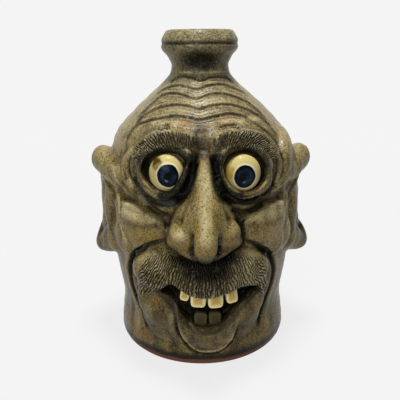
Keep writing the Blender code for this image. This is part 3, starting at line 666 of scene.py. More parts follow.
def combing(places, normals, pitch):
    """For each place, which stroke of the comb it is in, as a running number, and how strong the combing is."""
    face = places / FACE
    x, z = face[:, 0], face[:, 2]
    front = (places[:, 1] < 0) & (normals[:, 1] < 0.35)
    stroke, strength, sway = np.zeros(len(face)), np.zeros(len(face)), np.zeros(len(face))
    sway[front] = [noise.noise(Vector((p[0] * 0.16, p[2] * 0.07, 3)))
                   + 0.4 * noise.noise(Vector((p[0] * 0.4, p[2] * 0.3, 7))) for p in face[front]]
    low, high = (np.interp(x, *np.array(edge).T) for edge in (HAIR_FOOT, HAIR_TOP))
    proud = np.hypot(x, face[:, 1]) - wall_radius(z)
    beside = np.abs(x - 1)
    lip = front & (z > low - 4) & (z < high) & (beside < HAIR_REACH) & (proud > 4)
    spread = 1 + 0.021 * np.clip(104 - z, 0, 60)
    stroke[lip] = ((x - HAIR_ROOT) / spread)[lip] * FACE / pitch * 1.3 + 1.3 * sway[lip]
    strength[lip] = (smooth_step(high - z, 0, 4) * smooth_step(z - low, -4, -1) * smooth_step(HAIR_REACH - beside, 0, 3)
                     * smooth_step(proud, 4, 6))[lip]
    for brow, lean in zip(BROWS, (-0.25, 0.45)):
        line = catmull(brow, 8)
        near = np.flatnonzero(front & (x > line[:, 0].min() - 4) & (x < line[:, 0].max() + 4)
                              & (z > line[:, 1].min() - 8) & (z < line[:, 1].max() + 8))
        flat = np.column_stack([line[:, 0], np.zeros(len(line)), line[:, 1]])
        away, share = nearest_on(flat, np.column_stack([x[near], np.zeros(len(near)), z[near]]))
        row = share * (len(line) - 1)
        middle, wide = (np.interp(row, np.arange(len(line)), line[:, k]) for k in (1, 2))
        length = np.sum(np.linalg.norm(np.diff(flat, axis=0), axis=1))
        # The outer hairs lean over most
        leaning = lean * np.abs(x[near] / 30)
        stroke[near] = (share * length * np.sign(line[-1, 0] - line[0, 0])
                        - leaning * (z[near] - middle)) * FACE / pitch * 1.15
        stroke[near] += 1.1 * sway[near]
        strength[near] = smooth_step(wide - 0.4 - away, 0, 1.4)
    return stroke, strength


def haired(clay, pitch, depth):
    """Splits the faces of the brows and moustache finer, and combs the hair into them."""
    _, strength = combing(*mesh_arrays(clay), pitch)
    with editing(clay, None):
        bpy.ops.mesh.select_mode(type="VERT")
        bpy.ops.mesh.select_all(action="DESELECT")
    clay.data.vertices.foreach_set("select", strength > COMBED)
    with editing(clay, None):
        bpy.ops.mesh.select_mode(type="FACE")
        bpy.ops.mesh.subdivide(number_cuts=1, smoothness=0)
        bpy.ops.mesh.select_all(action="SELECT")
        bpy.ops.mesh.quads_convert_to_tris()
    places, normals = mesh_arrays(clay)
    stroke, strength = combing(places, normals, pitch)
    ridge = np.abs(np.sin(stroke * math.pi)) ** 0.8
    broken = np.ones(len(places))
    for i in np.flatnonzero(strength > 0):
        broken[i] = 0.75 + 0.7 * noise.noise(Vector(places[i] / FACE) * 0.45)
    return moved(clay, places + normals * ((ridge - 0.62) * strength * broken * depth)[:, None])


def neighbour_mean(values, pairs, counts):
    """The mean of each vertex's neighbours."""
    total = np.zeros_like(values)
    for one, other in (pairs.T, pairs.T[::-1]):
        for k in range(values.shape[1]):
            total[:, k] += np.bincount(one, weights=values[other, k], minlength=len(values))
    return total / counts[:, None]


def relief(clay):
    """Per vertex: how far it stands out from the surface round it, finely and broadly, and how shut in it is."""
    places, normals = mesh_arrays(clay)
    pairs = np.empty(len(clay.data.edges) * 2, np.int32)
    clay.data.edges.foreach_get("vertices", pairs)
    pairs = pairs.reshape(-1, 2)
    counts = np.maximum(np.bincount(pairs.ravel(), minlength=len(places)), 1)
    smooth = places.copy()
    stages = []
    for step in range(1, BROAD_STEPS + 1):
        smooth = 0.5 * (smooth + neighbour_mean(smooth, pairs, counts))
        if step in (FINE_STEPS, BROAD_STEPS):
            stages.append(np.sum((places - smooth) * normals, axis=1) / FACE)
    tree = BVHTree.FromObject(clay, bpy.context.evaluated_depsgraph_get())
    rays = np.random.default_rng(11).normal(size=(LOOKS_ROUND, 3))
    rays /= np.linalg.norm(rays, axis=1)[:, None]
    shut = np.zeros(len(places))
    for i in np.flatnonzero(places[:, 1] < 0.02):
        start = Vector(places[i] + normals[i] * 0.0002)
        lean = rays @ normals[i]
        blocked = 0.0
        for way, weight in zip(rays * np.sign(lean)[:, None], np.abs(lean)):
            hit = tree.ray_cast(start, way, SHUT_REACH)[3]
            if hit is not None:
                blocked += weight * (1 - hit / SHUT_REACH)
        shut[i] = blocked / np.abs(lean).sum()
    for _ in range(3):
        shut = 0.5 * (shut + neighbour_mean(shut[:, None], pairs, counts)[:, 0])
    # The ears' open bowls took the ash as the cheeks did, so less gathered glaze and painted shade lies in them
    bare = 1 - 0.85 * smooth_step(places[:, 1] / FACE, -50, -38)
    return *[np.where(stage < 0, stage * bare, stage) for stage in stages], shut * bare


def painted(mesh, name, values):
    """Keeps a number for each vertex, for the glaze to read."""
    layer = mesh.attributes.get(name) or mesh.attributes.new(name, "FLOAT", "POINT")
    layer.data.foreach_set("value", np.asarray(values, np.float32))


# Where the brush left glaze and iron, and, among the tan marks, painted highlights: x, z, half width, half height,
# strength
AMBER_PATCHES = (
    (-45, 109, 17, 8, 1.1), (49, 109, 16, 8, 1.0), (2.5, 112, 8, 9, 1.0), (-15, 111, 8, 7, 0.9),
    (3, 128, 13, 20, 0.75), (18, 111, 8, 8, 1.0), (3, 27, 17, 9, 1.2), (14, 21, 8, 6, 1.0), (-34, 46, 12, 16, 0.6),
    (36, 46, 12, 16, 0.6), (-60, 92, 9, 12, 0.5), (-70, 84, 9, 9, 0.6), (70, 84, 9, 9, 0.6),
)
RUST_PATCHES = (
    (-12, 186.5, 9, 3, 1.0), (16, 187, 10, 3, 1.0), (-4, 186, 5, 4, 0.5), (2, 168, 4, 6, 0.9),
    (-48, 22, 16, 11, 0.75), (46, 24, 16, 11, 0.75), (-30, 60, 8, 6, 0.6), (-30, 27, 9, 6, 0.4),
    (-36, 46, 10, 14, 0.4), (38, 46, 10, 14, 0.4), (-14, 117, 5, 4, 0.3), (-40, 121, 10, 4, 0.35),
    (1, 181, 7, 5, 0.75), (3, 29, 17, 10, 0.4), (-17, 110, 8, 6, 0.35), (20, 110, 8, 6, 0.35),
)
# Pale tan: the patches on the nose ridge and wings, the cheek tops, the moustache and the base of the neck are painted
# highlights
TAN_AND_HIGHLIGHT_PATCHES = (
    (3, 140, 4, 22, 0.8), (-50, 123, 10, 3.6, 1.0), (-38, 121.5, 8, 3, 0.8), (51, 123, 10, 3.6, 0.9),
    (40, 121.5, 8, 3, 0.7), (-26, 186.5, 16, 2, 0.7), (28, 187, 18, 2, 0.7), (-8, 194, 12, 3, 0.4),
    (6, 200, 18, 3, 0.4), (-15, 116, 5, 4, 0.8), (2.5, 118, 4, 8, 0.6), (2, 219.3, 17, 1.1, 1.3),
    (3, 212.3, 10, 1.0, 1.1), (30, 92, 12, 7, 0.45), (-36, 92, 10, 6, 0.3), (31, 79, 16, 11, 0.4),
    (54, 106, 13, 10, 0.3), (-41, 44, 3.5, 13, 0.4), (42, 45, 3.5, 12, 0.4), (-23, 38, 2.5, 14, 0.35),
    (30, 50, 2.5, 10, 0.3), (-52, 30, 3, 12, 0.5), (52, 30, 3, 12, 0.45),
)
# Near-black along the grooves, folds and rims, partly glaze gathered there and partly painted shade: (x, z) along each,
# half width, strength
DARK_LINES = (
    *[(path, 5.2, 1.12) for path in GUTTERS], *[(path, 2.4, 0.9) for path in SMILES],
    *[(path, 1.3, 0.6) for path in FOLDS], (CLEFT, 6.5, 0.6),
    (((-59, 116.5), (-50, 115.6), (-41, 116), (-33, 117), (-27, 118)), 2.4, 0.5),
    (((32, 117), (41, 116), (50, 115.6), (59, 116.5)), 2.4, 0.4),
    (((-7, 167), (-9, 161), (-11.5, 154), (-15, 148), (-20, 142), (-27, 140)), 4.4, 1.08),
    (((13, 167), (12, 161), (12.4, 154), (15, 148), (20, 142), (27, 140)), 3.6, 1.08),
    (((-42.5, 157), (-40, 165), (-32, 170), (-22, 172.3), (-12, 169.8), (-7.5, 165)), 3.4, 0.9),
    (((13.5, 165.5), (20, 170.5), (28, 172), (37, 170), (44, 164), (47, 157)), 3.4, 0.9),
    (((-31, 68), (-24.5, 59), (-19, 49), (-12, 40.5), (-3.5, 36), (4, 34.8), (12, 36.5), (19.5, 41.5), (26, 50),
      (33, 57.5), (40, 65)), 4.6, 0.78),
    (((-6.5, 119), (-6.6, 113), (-6.6, 108), (-7, 101)), 2.4, 0.7),
    (((12, 118), (11.6, 112), (11.4, 108), (11, 101)), 2.4, 0.8),
)
# Near-black patches. Those under the nose and in the mouth are painted shadow, and those round the eyes are dark glaze
# and painted shade
DARK_PATCHES = (
    (1, 175, 9, 9, 0.55), (0, 227.5, 17, 8.5, 1.0), (-36, 36, 16, 14, 0.5), (38, 38, 16, 14, 0.5),
    (3, 95, 27, 8, 1.2), (3, 88, 21, 11, 1.05), (2, 80, 22, 12, 0.45), (-10, 150, 7, 14, 0.9), (-18, 140, 8, 7, 0.8),
    (-30, 134, 14, 4, 0.6), (13, 150, 4, 14, 0.85), (19, 141, 7, 7, 0.8), (33, 134, 14, 4, 0.6),
    (-42, 157, 4, 10, 0.6), (46, 156, 4, 10, 0.6), (-26, 176, 22, 7, 0.5), (30, 176, 22, 7, 0.5),
    (-6, 170, 4, 4, 0.55), (11, 169, 4, 4, 0.5), (-6, 126, 4, 12, 0.3), (11.5, 126, 4, 12, 0.35),
    (2.5, 103, 8, 4, 0.5), (-19, 104, 8, 3.5, 0.5), (21, 104, 8, 3.5, 0.5), (3, 50, 26, 14, 0.55),
    (3, 30, 18, 13, 0.25), (11, 21.5, 4.5, 3.5, 0.7), (-8, 27, 3.5, 5.5, 0.7), (17, 30, 3.5, 5, 0.55),
    (0, 17, 5, 2.2, 0.6), (-30, 40, 5, 16, 0.45), (33, 40, 5, 15, 0.45),
)
# Pale tan lines: painted highlights along the crests of the chin, lip, cheek tops, ears and temples, and pale glaze
# with painted highlight beside the smile folds
TAN_AND_HIGHLIGHT_LINES = (
    (CHIN_LINE, 1.5, 0.75), (LIP_LINE, 1.2, 0.6), *[(path, 2.2, 0.6) for path in CHEEK_TOPS],
    *[([(x * 1.07, z) for x, z in path[3:]], 1.5, 0.55) for path in SMILES],
    *[(path, 1.6, 0.7) for path in EAR_CRESTS], *[(path, 1.4, 0.45) for path in TEMPLE_LINES],
)


def patch_field(face, patches):
    """The strongest of a set of soft oval patches at each place on the front."""
    found = np.zeros(len(face))
    front = smooth_step(-face[:, 1], 0, 14)
    for x, z, wide, high, strength in patches:
        away = np.hypot((face[:, 0] - x) / wide, (face[:, 2] - z) / high)
        found = np.maximum(found, front * strength * (1 - smooth_step(away, 0.45, 1.35)))
    return found


def line_field(face, lines):
    """The same for lines, which fade out to both sides."""
    found = np.zeros(len(face))
    for line, wide, strength in lines:
        path = catmull([(x, 0, z) for x, z in line], 3)
        near = np.flatnonzero((face[:, 1] < 0) & np.all((face > path.min(0) - wide) | [[False, True, False]], axis=1)
                              & np.all((face < path.max(0) + wide) | [[False, True, False]], axis=1))
        away, _ = nearest_on(path, face[near] * (1, 0, 1))
        found[near] = np.maximum(found[near], strength * (1 - smooth_step(away / wide, 0.45, 1.0)))
    return found


def finished(piece, node, material):
    """Hands a finished piece over: its glaze and the body it rides on. The imported part of the node that it stands for
    is hidden.
    """
    piece.data.materials.clear()
    piece.data.materials.append(material)
    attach(piece, "root")
    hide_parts(node)
    return piece


def eye_form(side, gap=0.0, detail=6):
    obj = ball(EYE_CENTRES[side], [r + gap for r in EYE_RADII], EYE_TURNS[side], detail)
    bpy.ops.object.transform_apply(location=True, rotation=True, scale=True)
    return obj


def tooth_form(x, z, wide, high, tilt, out, gap=0.0, detail=0):
    """A tooth: a block with well rounded sides."""
    bpy.ops.object.select_all(action="DESELECT")
    bpy.ops.mesh.primitive_cube_add(size=1)
    obj = bpy.context.object
    with editing(obj):
        bpy.ops.mesh.bevel(offset=0.25, segments=3, profile=0.5, affect="EDGES")
    obj.scale = Vector((wide, TOOTH_DEPTH, high)) * FACE + Vector((2, 2, 2)) * gap * FACE
    obj.location = wall_point(x, z, out)
    obj.rotation_euler = (0, math.radians(tilt), math.atan2(x, TOOTH_ARC))
    bpy.ops.object.transform_apply(location=True, rotation=True, scale=True)
    if detail:
        modified(obj, "SUBSURF", levels=detail, render_levels=detail)
    return obj


def given(node, inputs):
    """Gives a shader node its inputs, by name or number: values, or fields that are linked to them."""
    for name, value in dict(inputs).items():
        if isinstance(value, Field):
            value.tree.links.new(value.socket, node.inputs[name])
        else:
            node.inputs[name].default_value = value
    return node


class Field:
    """A number, place or colour that changes over the surface: an output of a shader node. A sum, ramp or
    texture of it adds its own node to the same tree."""

    def __init__(self, tree, socket):
        self.tree, self.socket = tree, socket

    def node(self, kind, inputs, output=0, **settings):
        made = self.tree.nodes.new(kind)
        for name, value in settings.items():
            setattr(made, name, value)
        return Field(self.tree, given(made, inputs).outputs[output])

    def beside(self, output):
        """Another output of the same node."""
        return Field(self.tree, self.socket.node.outputs[output])

    def sum(self, operation, *terms):
        return self.node("ShaderNodeMath", enumerate((self, *terms)), operation=operation)

    def __add__(self, other):
        return self.sum("ADD", other)

    def __mul__(self, other):
        return self.sum("MULTIPLY", other)

    def most(self, other):
        return self.sum("MAXIMUM", other)

    def eased(self, low, high, to_low=0.0, to_high=1.0):
        inputs = {"Value": self, "From Min": low, "From Max": high, "To Min": to_low, "To Max": to_high}
        return self.node("ShaderNodeMapRange", inputs, interpolation_type="SMOOTHSTEP")

    def clouds(self, scale, detail=4, roughness=0.6, distortion=0.0):
        inputs = {"Vector": self, "Scale": scale, "Detail": detail, "Roughness": roughness, "Distortion": distortion}
        return self.node("ShaderNodeTexNoise", inputs)

    def read(self, name):
        """What the piece's own attribute of this name says."""
        return self.node("ShaderNodeAttribute", (), "Fac", attribute_name=name)

    def bump(self, distance):
        return self.node("ShaderNodeBump", {"Strength": 1.0, "Distance": distance, "Height": self})


def layered(under, *coats):
    """Colours laid over each other in turn, each with the share of it that shows."""
    for colour, share in coats:
        one, two = (tint if isinstance(tint, Field) else (*tint, 1) for tint in (under, colour))
        under = share.node("ShaderNodeMix", {0: share, 6: one, 7: two}, 2, data_type="RGBA")
    return under


def kiln_specks(place, spacing, size):
    """Pale ash specks that the fire scattered over a glaze."""
    scale = spacing.node("ShaderNodeMath", {0: 1.0, 1: spacing}, operation="DIVIDE")
    cells = place.node("ShaderNodeTexVoronoi", {"Vector": place, "Scale": scale}, "Color")
    rare = cells.node("ShaderNodeSeparateColor", {0: cells}).sum("GREATER_THAN", 0.8)
    return [rare * cells.beside("Distance").eased(size, 0.0)]


def glaze_mottle(place, scale):
    """A fired surface: broad clouds, fine grain, and the height of both."""
    broad = place.clouds(scale, 5, 0.62, 0.6)
    fine = place.clouds(scale * 11.0, 3, 0.7)
    return broad, fine, fine.sum("MULTIPLY_ADD", 0.5, broad)


EFFECTS = {
    "Kiln specks": (kiln_specks, ("Place", "Spacing", "Size"), ("Mask",)),
    "Glaze mottle": (glaze_mottle, ("Place", "Scale"), ("Clouds", "Grain", "Height")),
}


def effect(name, place, *values):
    """Places a shared effect in a material, with its own values. Its node group is built the first time."""
    work, inputs, outputs = EFFECTS[name]
    group = bpy.data.node_groups.get(name)
    if group is None:
        group = bpy.data.node_groups.new(name, "ShaderNodeTree")
        for way, sockets in (("INPUT", inputs), ("OUTPUT", outputs)):
            for socket in sockets:
                kind = "NodeSocketVector" if socket == "Place" else "NodeSocketFloat"
                group.interface.new_socket(socket, in_out=way, socket_type=kind)
        start, end = group.nodes.new("NodeGroupInput"), group.nodes.new("NodeGroupOutput")
        given(end, zip(outputs, work(*[Field(group, start.outputs[socket]) for socket in inputs])))
    first = place.node("ShaderNodeGroup", zip(inputs, (place, *values)), outputs[0], node_tree=group)
    return [first.beside(socket) for socket in outputs]


def new_material(name):
    """A material, its shader, and the place on the piece in the piece's own coordinates."""
    made = bpy.data.materials.new(name)
    made.use_nodes = True
    tree = made.node_tree
    return made, tree.nodes["Principled BSDF"], Field(tree, tree.nodes.new("ShaderNodeTexCoord").outputs["Object"])


def clay_glaze(glaze):
    """Ash glaze over dark clay: pale where the clay stands out, partly as painted highlight, and near black where it is
    shut in, partly as glaze gathered in the hollows and partly as painted shade.
    """
    made, shader, place = new_material("olive_glaze")
    cloudy, grain, mottle = effect("Glaze mottle", place, 75.0)
    drawn_down = place.node("ShaderNodeMapping", {"Vector": place, "Scale": (1.0, 1.0, 0.22)})
    streaks = drawn_down.clouds(160.0, 3, 0.65)
    patchy, grains = place.clouds(330.0, 4, 0.75, 0.4), place.clouds(900.0, 2, 0.6)
    height = place.node("ShaderNodeSeparateXYZ", {0: place}, 2)
    specks, = effect("Kiln specks", place, 0.0042, 0.13)
    fine, broad, shut, comb, combed, amber, rust, tan_and_highlight, laid_dark_and_shade = (place.read(name) for name in (
        "fine_relief", "broad_relief", "shut_in", "comb_stroke", "combed", "amber", "rust", "tan_and_highlight", "dark"))

    # Strands: pale crests with dark gaps, partly painted highlight on the crests and partly painted shade in the gaps
    wave = (comb * math.pi).sum("SINE").sum("ABSOLUTE")
    gap = wave.eased(0.75, 0.1) * combed
    crest = wave.eased(0.6, 0.95) * combed * place.clouds(520.0, 2, 0.6).eased(0.4, 0.62)

    ragged = cloudy.sum("MULTIPLY_ADD", 3.0, -1.5)
    lit = (broad.eased(-0.9, 1.5) + ragged + streaks.sum("MULTIPLY_ADD", 1.2, -0.6)
           + patchy.sum("MULTIPLY_ADD", 1.6, -0.8))
    low = ragged.sum("MULTIPLY_ADD", 0.012, height).eased(0.135, 0.04)
    low *= drawn_down.clouds(48.0, 4, 0.6, 0.8).eased(0.62, 0.4, 0.2, 0.95)
    # Near black where the clay is shut in: glaze gathered in the hollows, and painted shade where shade falls in them
    # and under things
    pooled_and_shaded = ragged.sum("MULTIPLY_ADD", 0.07, shut).eased(0.1, 0.46)
    dark = pooled_and_shaded.most(fine.eased(-0.05, -0.4)).most(broad.eased(-0.35, -2.2) * 0.8).most(gap * 0.85)
    # The laid near-black: dark glaze, and painted shade under the nose, round the eyes, in the mouth and along grooves
    dark = dark.most(laid_dark_and_shade * patchy.eased(0.3, 0.55, 0.8, 1.05))
    # A dark line, then bare clay, round the foot
    ragged_height = ragged.sum("MULTIPLY_ADD", 0.0016, height)
    foot = ragged_height.eased(0.0068, 0.0054)

    colour = layered(
        glaze.olive,
        (glaze.ash, lit.eased(0.05, 1.05)),
        # Paler on the fine crests: ash glaze and painted highlight
        (glaze.ash, fine.eased(0.05, 0.4) * 0.6),
        (SHOULDER_ASH, height.eased(0.13, 0.215) * 0.5),
        (COLLAR_DUSK, height.eased(0.205, 0.232) * patchy.eased(0.36, 0.62, 0.1, 0.85)),
        (LOW_BROWN, low),
        (HAIR_BROWN, combed * 0.55),
        (PALE_STRAND, streaks.eased(0.54, 0.70) * 0.35),
        (DARK_RUN, streaks.eased(0.46, 0.32) * 0.45),
        (glaze.amber, place.clouds(210.0, 3, 0.6).eased(0.5, 0.68) * 0.4),
        (PEPPER, grain.eased(0.47, 0.64) * 0.75),
        (glaze.amber, amber * cloudy.eased(0.35, 0.65)),
        (glaze.rust, rust * streaks.eased(0.4, 0.6)),
        # Pale tan: pale glaze, and painted highlights on crests, the cheek tops and the base of the neck
        (TAN, tan_and_highlight * streaks.eased(0.3, 0.6, 0.3, 1.0)),
        (PALE_STRAND, crest * 0.9),
        (DARK_GRAIN, grains.eased(0.51, 0.64) * 0.6),
        (PALE_GRAIN, grains.eased(0.47, 0.34) * 0.45),
        # Near black over the hollows, grooves and laid patches: gathered glaze and painted shade
        (glaze.pool, dark * 0.96),
        (DUSTY_GRAIN, grains.eased(0.40, 0.30) * 0.3),
        (ASH_SPECK, specks * 0.9),
        (glaze.pool, ragged_height.eased(0.0145, 0.0085) * 0.96),
        (glaze.bare, foot),
    )
    rough = grain.eased(0.3, 0.7, 0.20, 0.40).most(foot * 0.8).most(rust * 0.6)
    given(shader, {"Base Color": colour, "Roughness": rough, "Specular IOR Level": 0.11,
                   "Normal": (mottle + wave * combed * 2.0).bump(0.00035)})
    return made


def eye_glaze(glaze, side):
    """Cream glaze with amber stains, darker towards its rim as painted shade, and an iris painted on it in navy with a
    dark outline, a pale ring and a painted reflection below the pupil.
    """
    made, shader, place = new_material(f"eye_glaze_{side}")
    cloudy, grain, mottle = effect("Glaze mottle", place, 160.0)
    turn, radius = EYE_TURNS[side], glaze.iris_size
    from_centre = place.node("ShaderNodeVectorMath", {0: place, 1: EYE_CENTRES[side]}, operation="SUBTRACT")
    across, up = (place.node("ShaderNodeVectorMath", {0: from_centre, 1: axis}, "Value", operation="DOT_PRODUCT")
                  for axis in ((math.cos(turn), math.sin(turn), 0), (0, 0, 1)))

    def away(x, z):
        """How far each place is from one given to the right of and above the eye's middle, in face measures."""
        right, rise = across.sum("SUBTRACT", x * FACE), up.sum("SUBTRACT", z * FACE) * IRIS_FLATNESS
        return (right * right + rise * rise).sum("SQRT")

    iris, pupil, stained, stain_colour = EYE_PAINT[side]
    wander = cloudy.sum("MULTIPLY_ADD", 0.0012, -0.0006)
    from_iris = away(*iris) + wander
    blues = layered(
        glaze.iris,
        ((0.007, 0.019, 0.034), cloudy.eased(0.42, 0.62)),
        # A pale blue spot below the pupil is a painted reflection
        ((0.10, 0.17, 0.22), away(iris[0] - 0.9, iris[1] - 3.0).eased(0.0016, 0.0006, 0.0, 0.7)),
        ((0.001, 0.0012, 0.002), from_iris.eased(radius * 0.68, radius * 0.88)),
        ((0.0008, 0.001, 0.0015), (away(*pupil) + wander).eased(0.0030, 0.0023)),
    )
    stain = (away(*stained) + wander * 4.0).eased(0.0052, 0.0026)
    colour = layered(
        glaze.cream,
        ((0.36, 0.28, 0.085), cloudy.eased(0.35, 0.7, 0.0, 0.5)),
        # Darker towards the rim of the ball: painted shade round its sides
        ((0.27, 0.20, 0.06), away(0, 0).eased(0.0085, 0.0135) * 0.55),
        (stain_colour, stain * cloudy.eased(0.35, 0.55, 0.6, 1.0)),
        ((0.52, 0.49, 0.36), from_iris.eased(radius * 1.24, radius * 1.1) * 0.5),
        (blues, from_iris.eased(radius * 1.04, radius * 0.99)),
    )
    given(shader, {"Base Color": colour, "Roughness": grain.eased(0.3, 0.7, 0.1, 0.2), "Specular IOR Level": 0.07,
                   "Normal": mottle.bump(0.00012)})
    return made


def tooth_glaze(glaze):
    """Cream glaze, thin and bright along the edges, amber where it pools in the middle, and darkened by painted shadow
    on the lower teeth, which sit back in the mouth.
    """
    made, shader, place = new_material("tooth_glaze")
    cloudy, grain, mottle = effect("Glaze mottle", place, 190.0)
    middle = cloudy.sum("MULTIPLY_ADD", 0.5, place.read("middle")).eased(0.55, 1.2)
    # The lower teeth are darkened by painted shadow
    colour = layered(glaze.enamel, ((0.36, 0.25, 0.07), middle), ((0.020, 0.015, 0.004), place.read("shade")))
    given(shader, {"Base Color": colour, "Roughness": grain.eased(0.3, 0.7, 0.14, 0.28), "Specular IOR Level": 0.12,
                   "Normal": mottle.bump(0.00015)})
    return made


def modelled(clay):
    """The whole jug in clay, hollow, with its sockets cut and its hair combed."""
    grain = clay.grain * 1.0
    jug = thrown("face_jug_clay", OUTER)
    fused(jug, [*nose(), *cheeks(), *eye_mounds(), *head_masses()], 8, grain)
    cut(jug, [opening(MOUTH, MOUTH_WALL), *[opening(outline, WALL + 1) for outline in EYE_OPENINGS]])
    fused(jug, [*lower_lip(), *lids(), *brows(), *moustache(), *ear(-1), *ear(1)], 4, grain)
    # The fans of clay between the ears and the head are smoothed most
    face = mesh_arrays(jug)[0] / FACE
    by_ears = smooth_step(np.hypot(face[:, 0], face[:, 1] / 4), 60, 66) * smooth_step(face[:, 1], -58, -46)
    by_ears *= smooth_step(face[:, 2], 68, 74) * smooth_step(-face[:, 2], -170, -164)
    smoothed(jug, by_ears, round(40 * (EAR_GRAIN / grain) ** 2))
    folds(jug, clay.fold_depth / FACE)
    fused(jug, [], 0.7, grain)
    cut(jug, [thrown("ground", [(200, -20), (200, 0)]), thrown("hollow", catmull(INSIDE, 2))])
    # The sockets of neighbouring teeth can touch, so every other one is cut at a time
    cut(jug, [eye_form(side, SETTING_GAP, 4) for side in EYE_CENTRES])
    for every_other in (TEETH[::2], TEETH[1::2]):
        cut(jug, [tooth_form(*tooth, SETTING_GAP) for _, *tooth in every_other])
    creases(jug)
    uneven(jug, clay.unevenness, clay.wheel_lines)

    def in_hair():
        return combing(*mesh_arrays(jug), clay.hair_pitch)[1] > COMBED

    lightened(jug, ~in_hair(), clay.plain_share)
    haired(jug, clay.hair_pitch, clay.hair_depth)
    lightened(jug, in_hair(), clay.hair_share)
    trimmed(jug)
    jug.data.shade_smooth()
    return jug


def smoothed(clay, where, strokes):
    """Smooths the clay with strokes of the thumb, where and as much as the given shares say."""
    rows = [(np.abs(where - level) <= 0.125, level) for level in (0.25, 0.5, 0.75, 1.0)]
    return partly(clay, "SMOOTH", rows, factor=0.5, iterations=strokes)


def lightened(jug, chosen, share):
    """Fewer faces in one part of the clay, most of them where it bends. The rest keeps all of its own."""
    return partly(jug, "DECIMATE", [(chosen, 1.0)], ratio=share, vertex_group_factor=1.0)


def trimmed(clay):
    """Takes off any flap of a face that hangs on the closed skin by one edge."""
    with editing(clay, "DESELECT"):
        bpy.ops.mesh.select_mode(type="EDGE")
        bpy.ops.mesh.select_non_manifold(use_wire=True, use_boundary=True, use_multi_face=False,
                                         use_non_contiguous=False, use_verts=False)
        bpy.ops.mesh.delete(type="EDGE")
        bpy.ops.mesh.select_all(action="SELECT")
        bpy.ops.mesh.delete_loose()


def marked_by_form(jug, clay):
    """Keeps for the glaze where the clay stands out, where it is shut in, and where the comb went."""
    names = ("fine_relief", "broad_relief", "shut_in", "comb_stroke", "combed")
    for name, values in zip(names, (*relief(jug), *combing(*mesh_arrays(jug), clay.hair_pitch))):
        painted(jug.data, name, values)


def marked_by_brush(jug):
    """Keeps for the glaze where the brush and the fire left their own colours, and where painted shade and painted
    highlights are laid.
    """
    face = mesh_arrays(jug)[0] / FACE
    proud = np.hypot(face[:, 0], face[:, 1]) - wall_radius(face[:, 2])
    in_front = (face[:, 1] < -30) & (face[:, 2] < 175)
    # Surfaces sunk inside the mouth and eye openings are laid dark as painted shade
    shade_in_openings = np.where(in_front, smooth_step(-proud, 0.2, 2.0), 0)
    # The collar's groove shows as a soft dark line: glaze gathered in it and painted shade
    collar_groove = 0.9 * (1 - smooth_step(np.abs(face[:, 2] - COLLAR_GROOVE), 0.4, 2.0))
    marks = {"amber": [patch_field(face, AMBER_PATCHES)], "rust": [patch_field(face, RUST_PATCHES)],
             "tan_and_highlight": [patch_field(face, TAN_AND_HIGHLIGHT_PATCHES), line_field(face, TAN_AND_HIGHLIGHT_LINES)],
             "dark": [patch_field(face, DARK_PATCHES), line_field(face, DARK_LINES), shade_in_openings, collar_groove]}
    for name, fields in marks.items():
        painted(jug.data, name, np.max(fields, axis=0))


class JUG_OT_body(Operator):
    """Throw the jug, model the face on it, comb its hair and glaze it"""

    bl_idname = "jug.body"
    bl_label = "Jug and face"

    def execute(self, context):
        jug = modelled(context.scene.jug_clay)
        marked_by_form(jug, context.scene.jug_clay)
        marked_by_brush(jug)
        finished(jug, "jug", clay_glaze(context.scene.jug_glaze))
        return {"FINISHED"}


class JUG_OT_eyes(Operator):
    """Set the two eyes in their sockets"""

    bl_idname = "jug.eyes"
    bl_label = "Eyes"

    def execute(self, context):
        for side in EYE_CENTRES:
            eye = eye_form(side)
            eye.name = eye.data.name = f"{side}_eye_ball"
            eye.data.shade_smooth()
            finished(eye, f"eye_{side}", eye_glaze(context.scene.jug_glaze, side))
        return {"FINISHED"}


class JUG_OT_teeth(Operator):
    """Set the teeth in their gums"""

    bl_idname = "jug.teeth"
    bl_label = "Teeth"

    def execute(self, context):
        material = tooth_glaze(context.scene.jug_glaze)
        for node, *tooth in TEETH:
            x, z, wide, high, tilt, out = tooth
            piece = tooth_form(*tooth, detail=2)
            piece.name = piece.data.name = f"set_{node}"
            turn = Matrix.Rotation(math.atan2(x, TOOTH_ARC), 3, "Z") @ Matrix.Rotation(math.radians(tilt), 3, "Y")
            local = (mesh_arrays(piece)[0] - np.array(wall_point(x, z, out))) @ np.array(turn)
            across, up = np.abs(local[:, 0]) / (wide * FACE / 2), np.abs(local[:, 2]) / (high * FACE / 2)
            painted(piece.data, "middle", 1 - np.maximum(across, up) ** 2)
            # The lower teeth get painted shadow, as they sit back in the mouth
            painted(piece.data, "shade", np.full(len(local), 0.0 if "upper" in node else LOWER_TEETH_PAINTED_SHADOW))
            piece.data.shade_smooth()
            finished(piece, node, material)
        return {"FINISHED"}


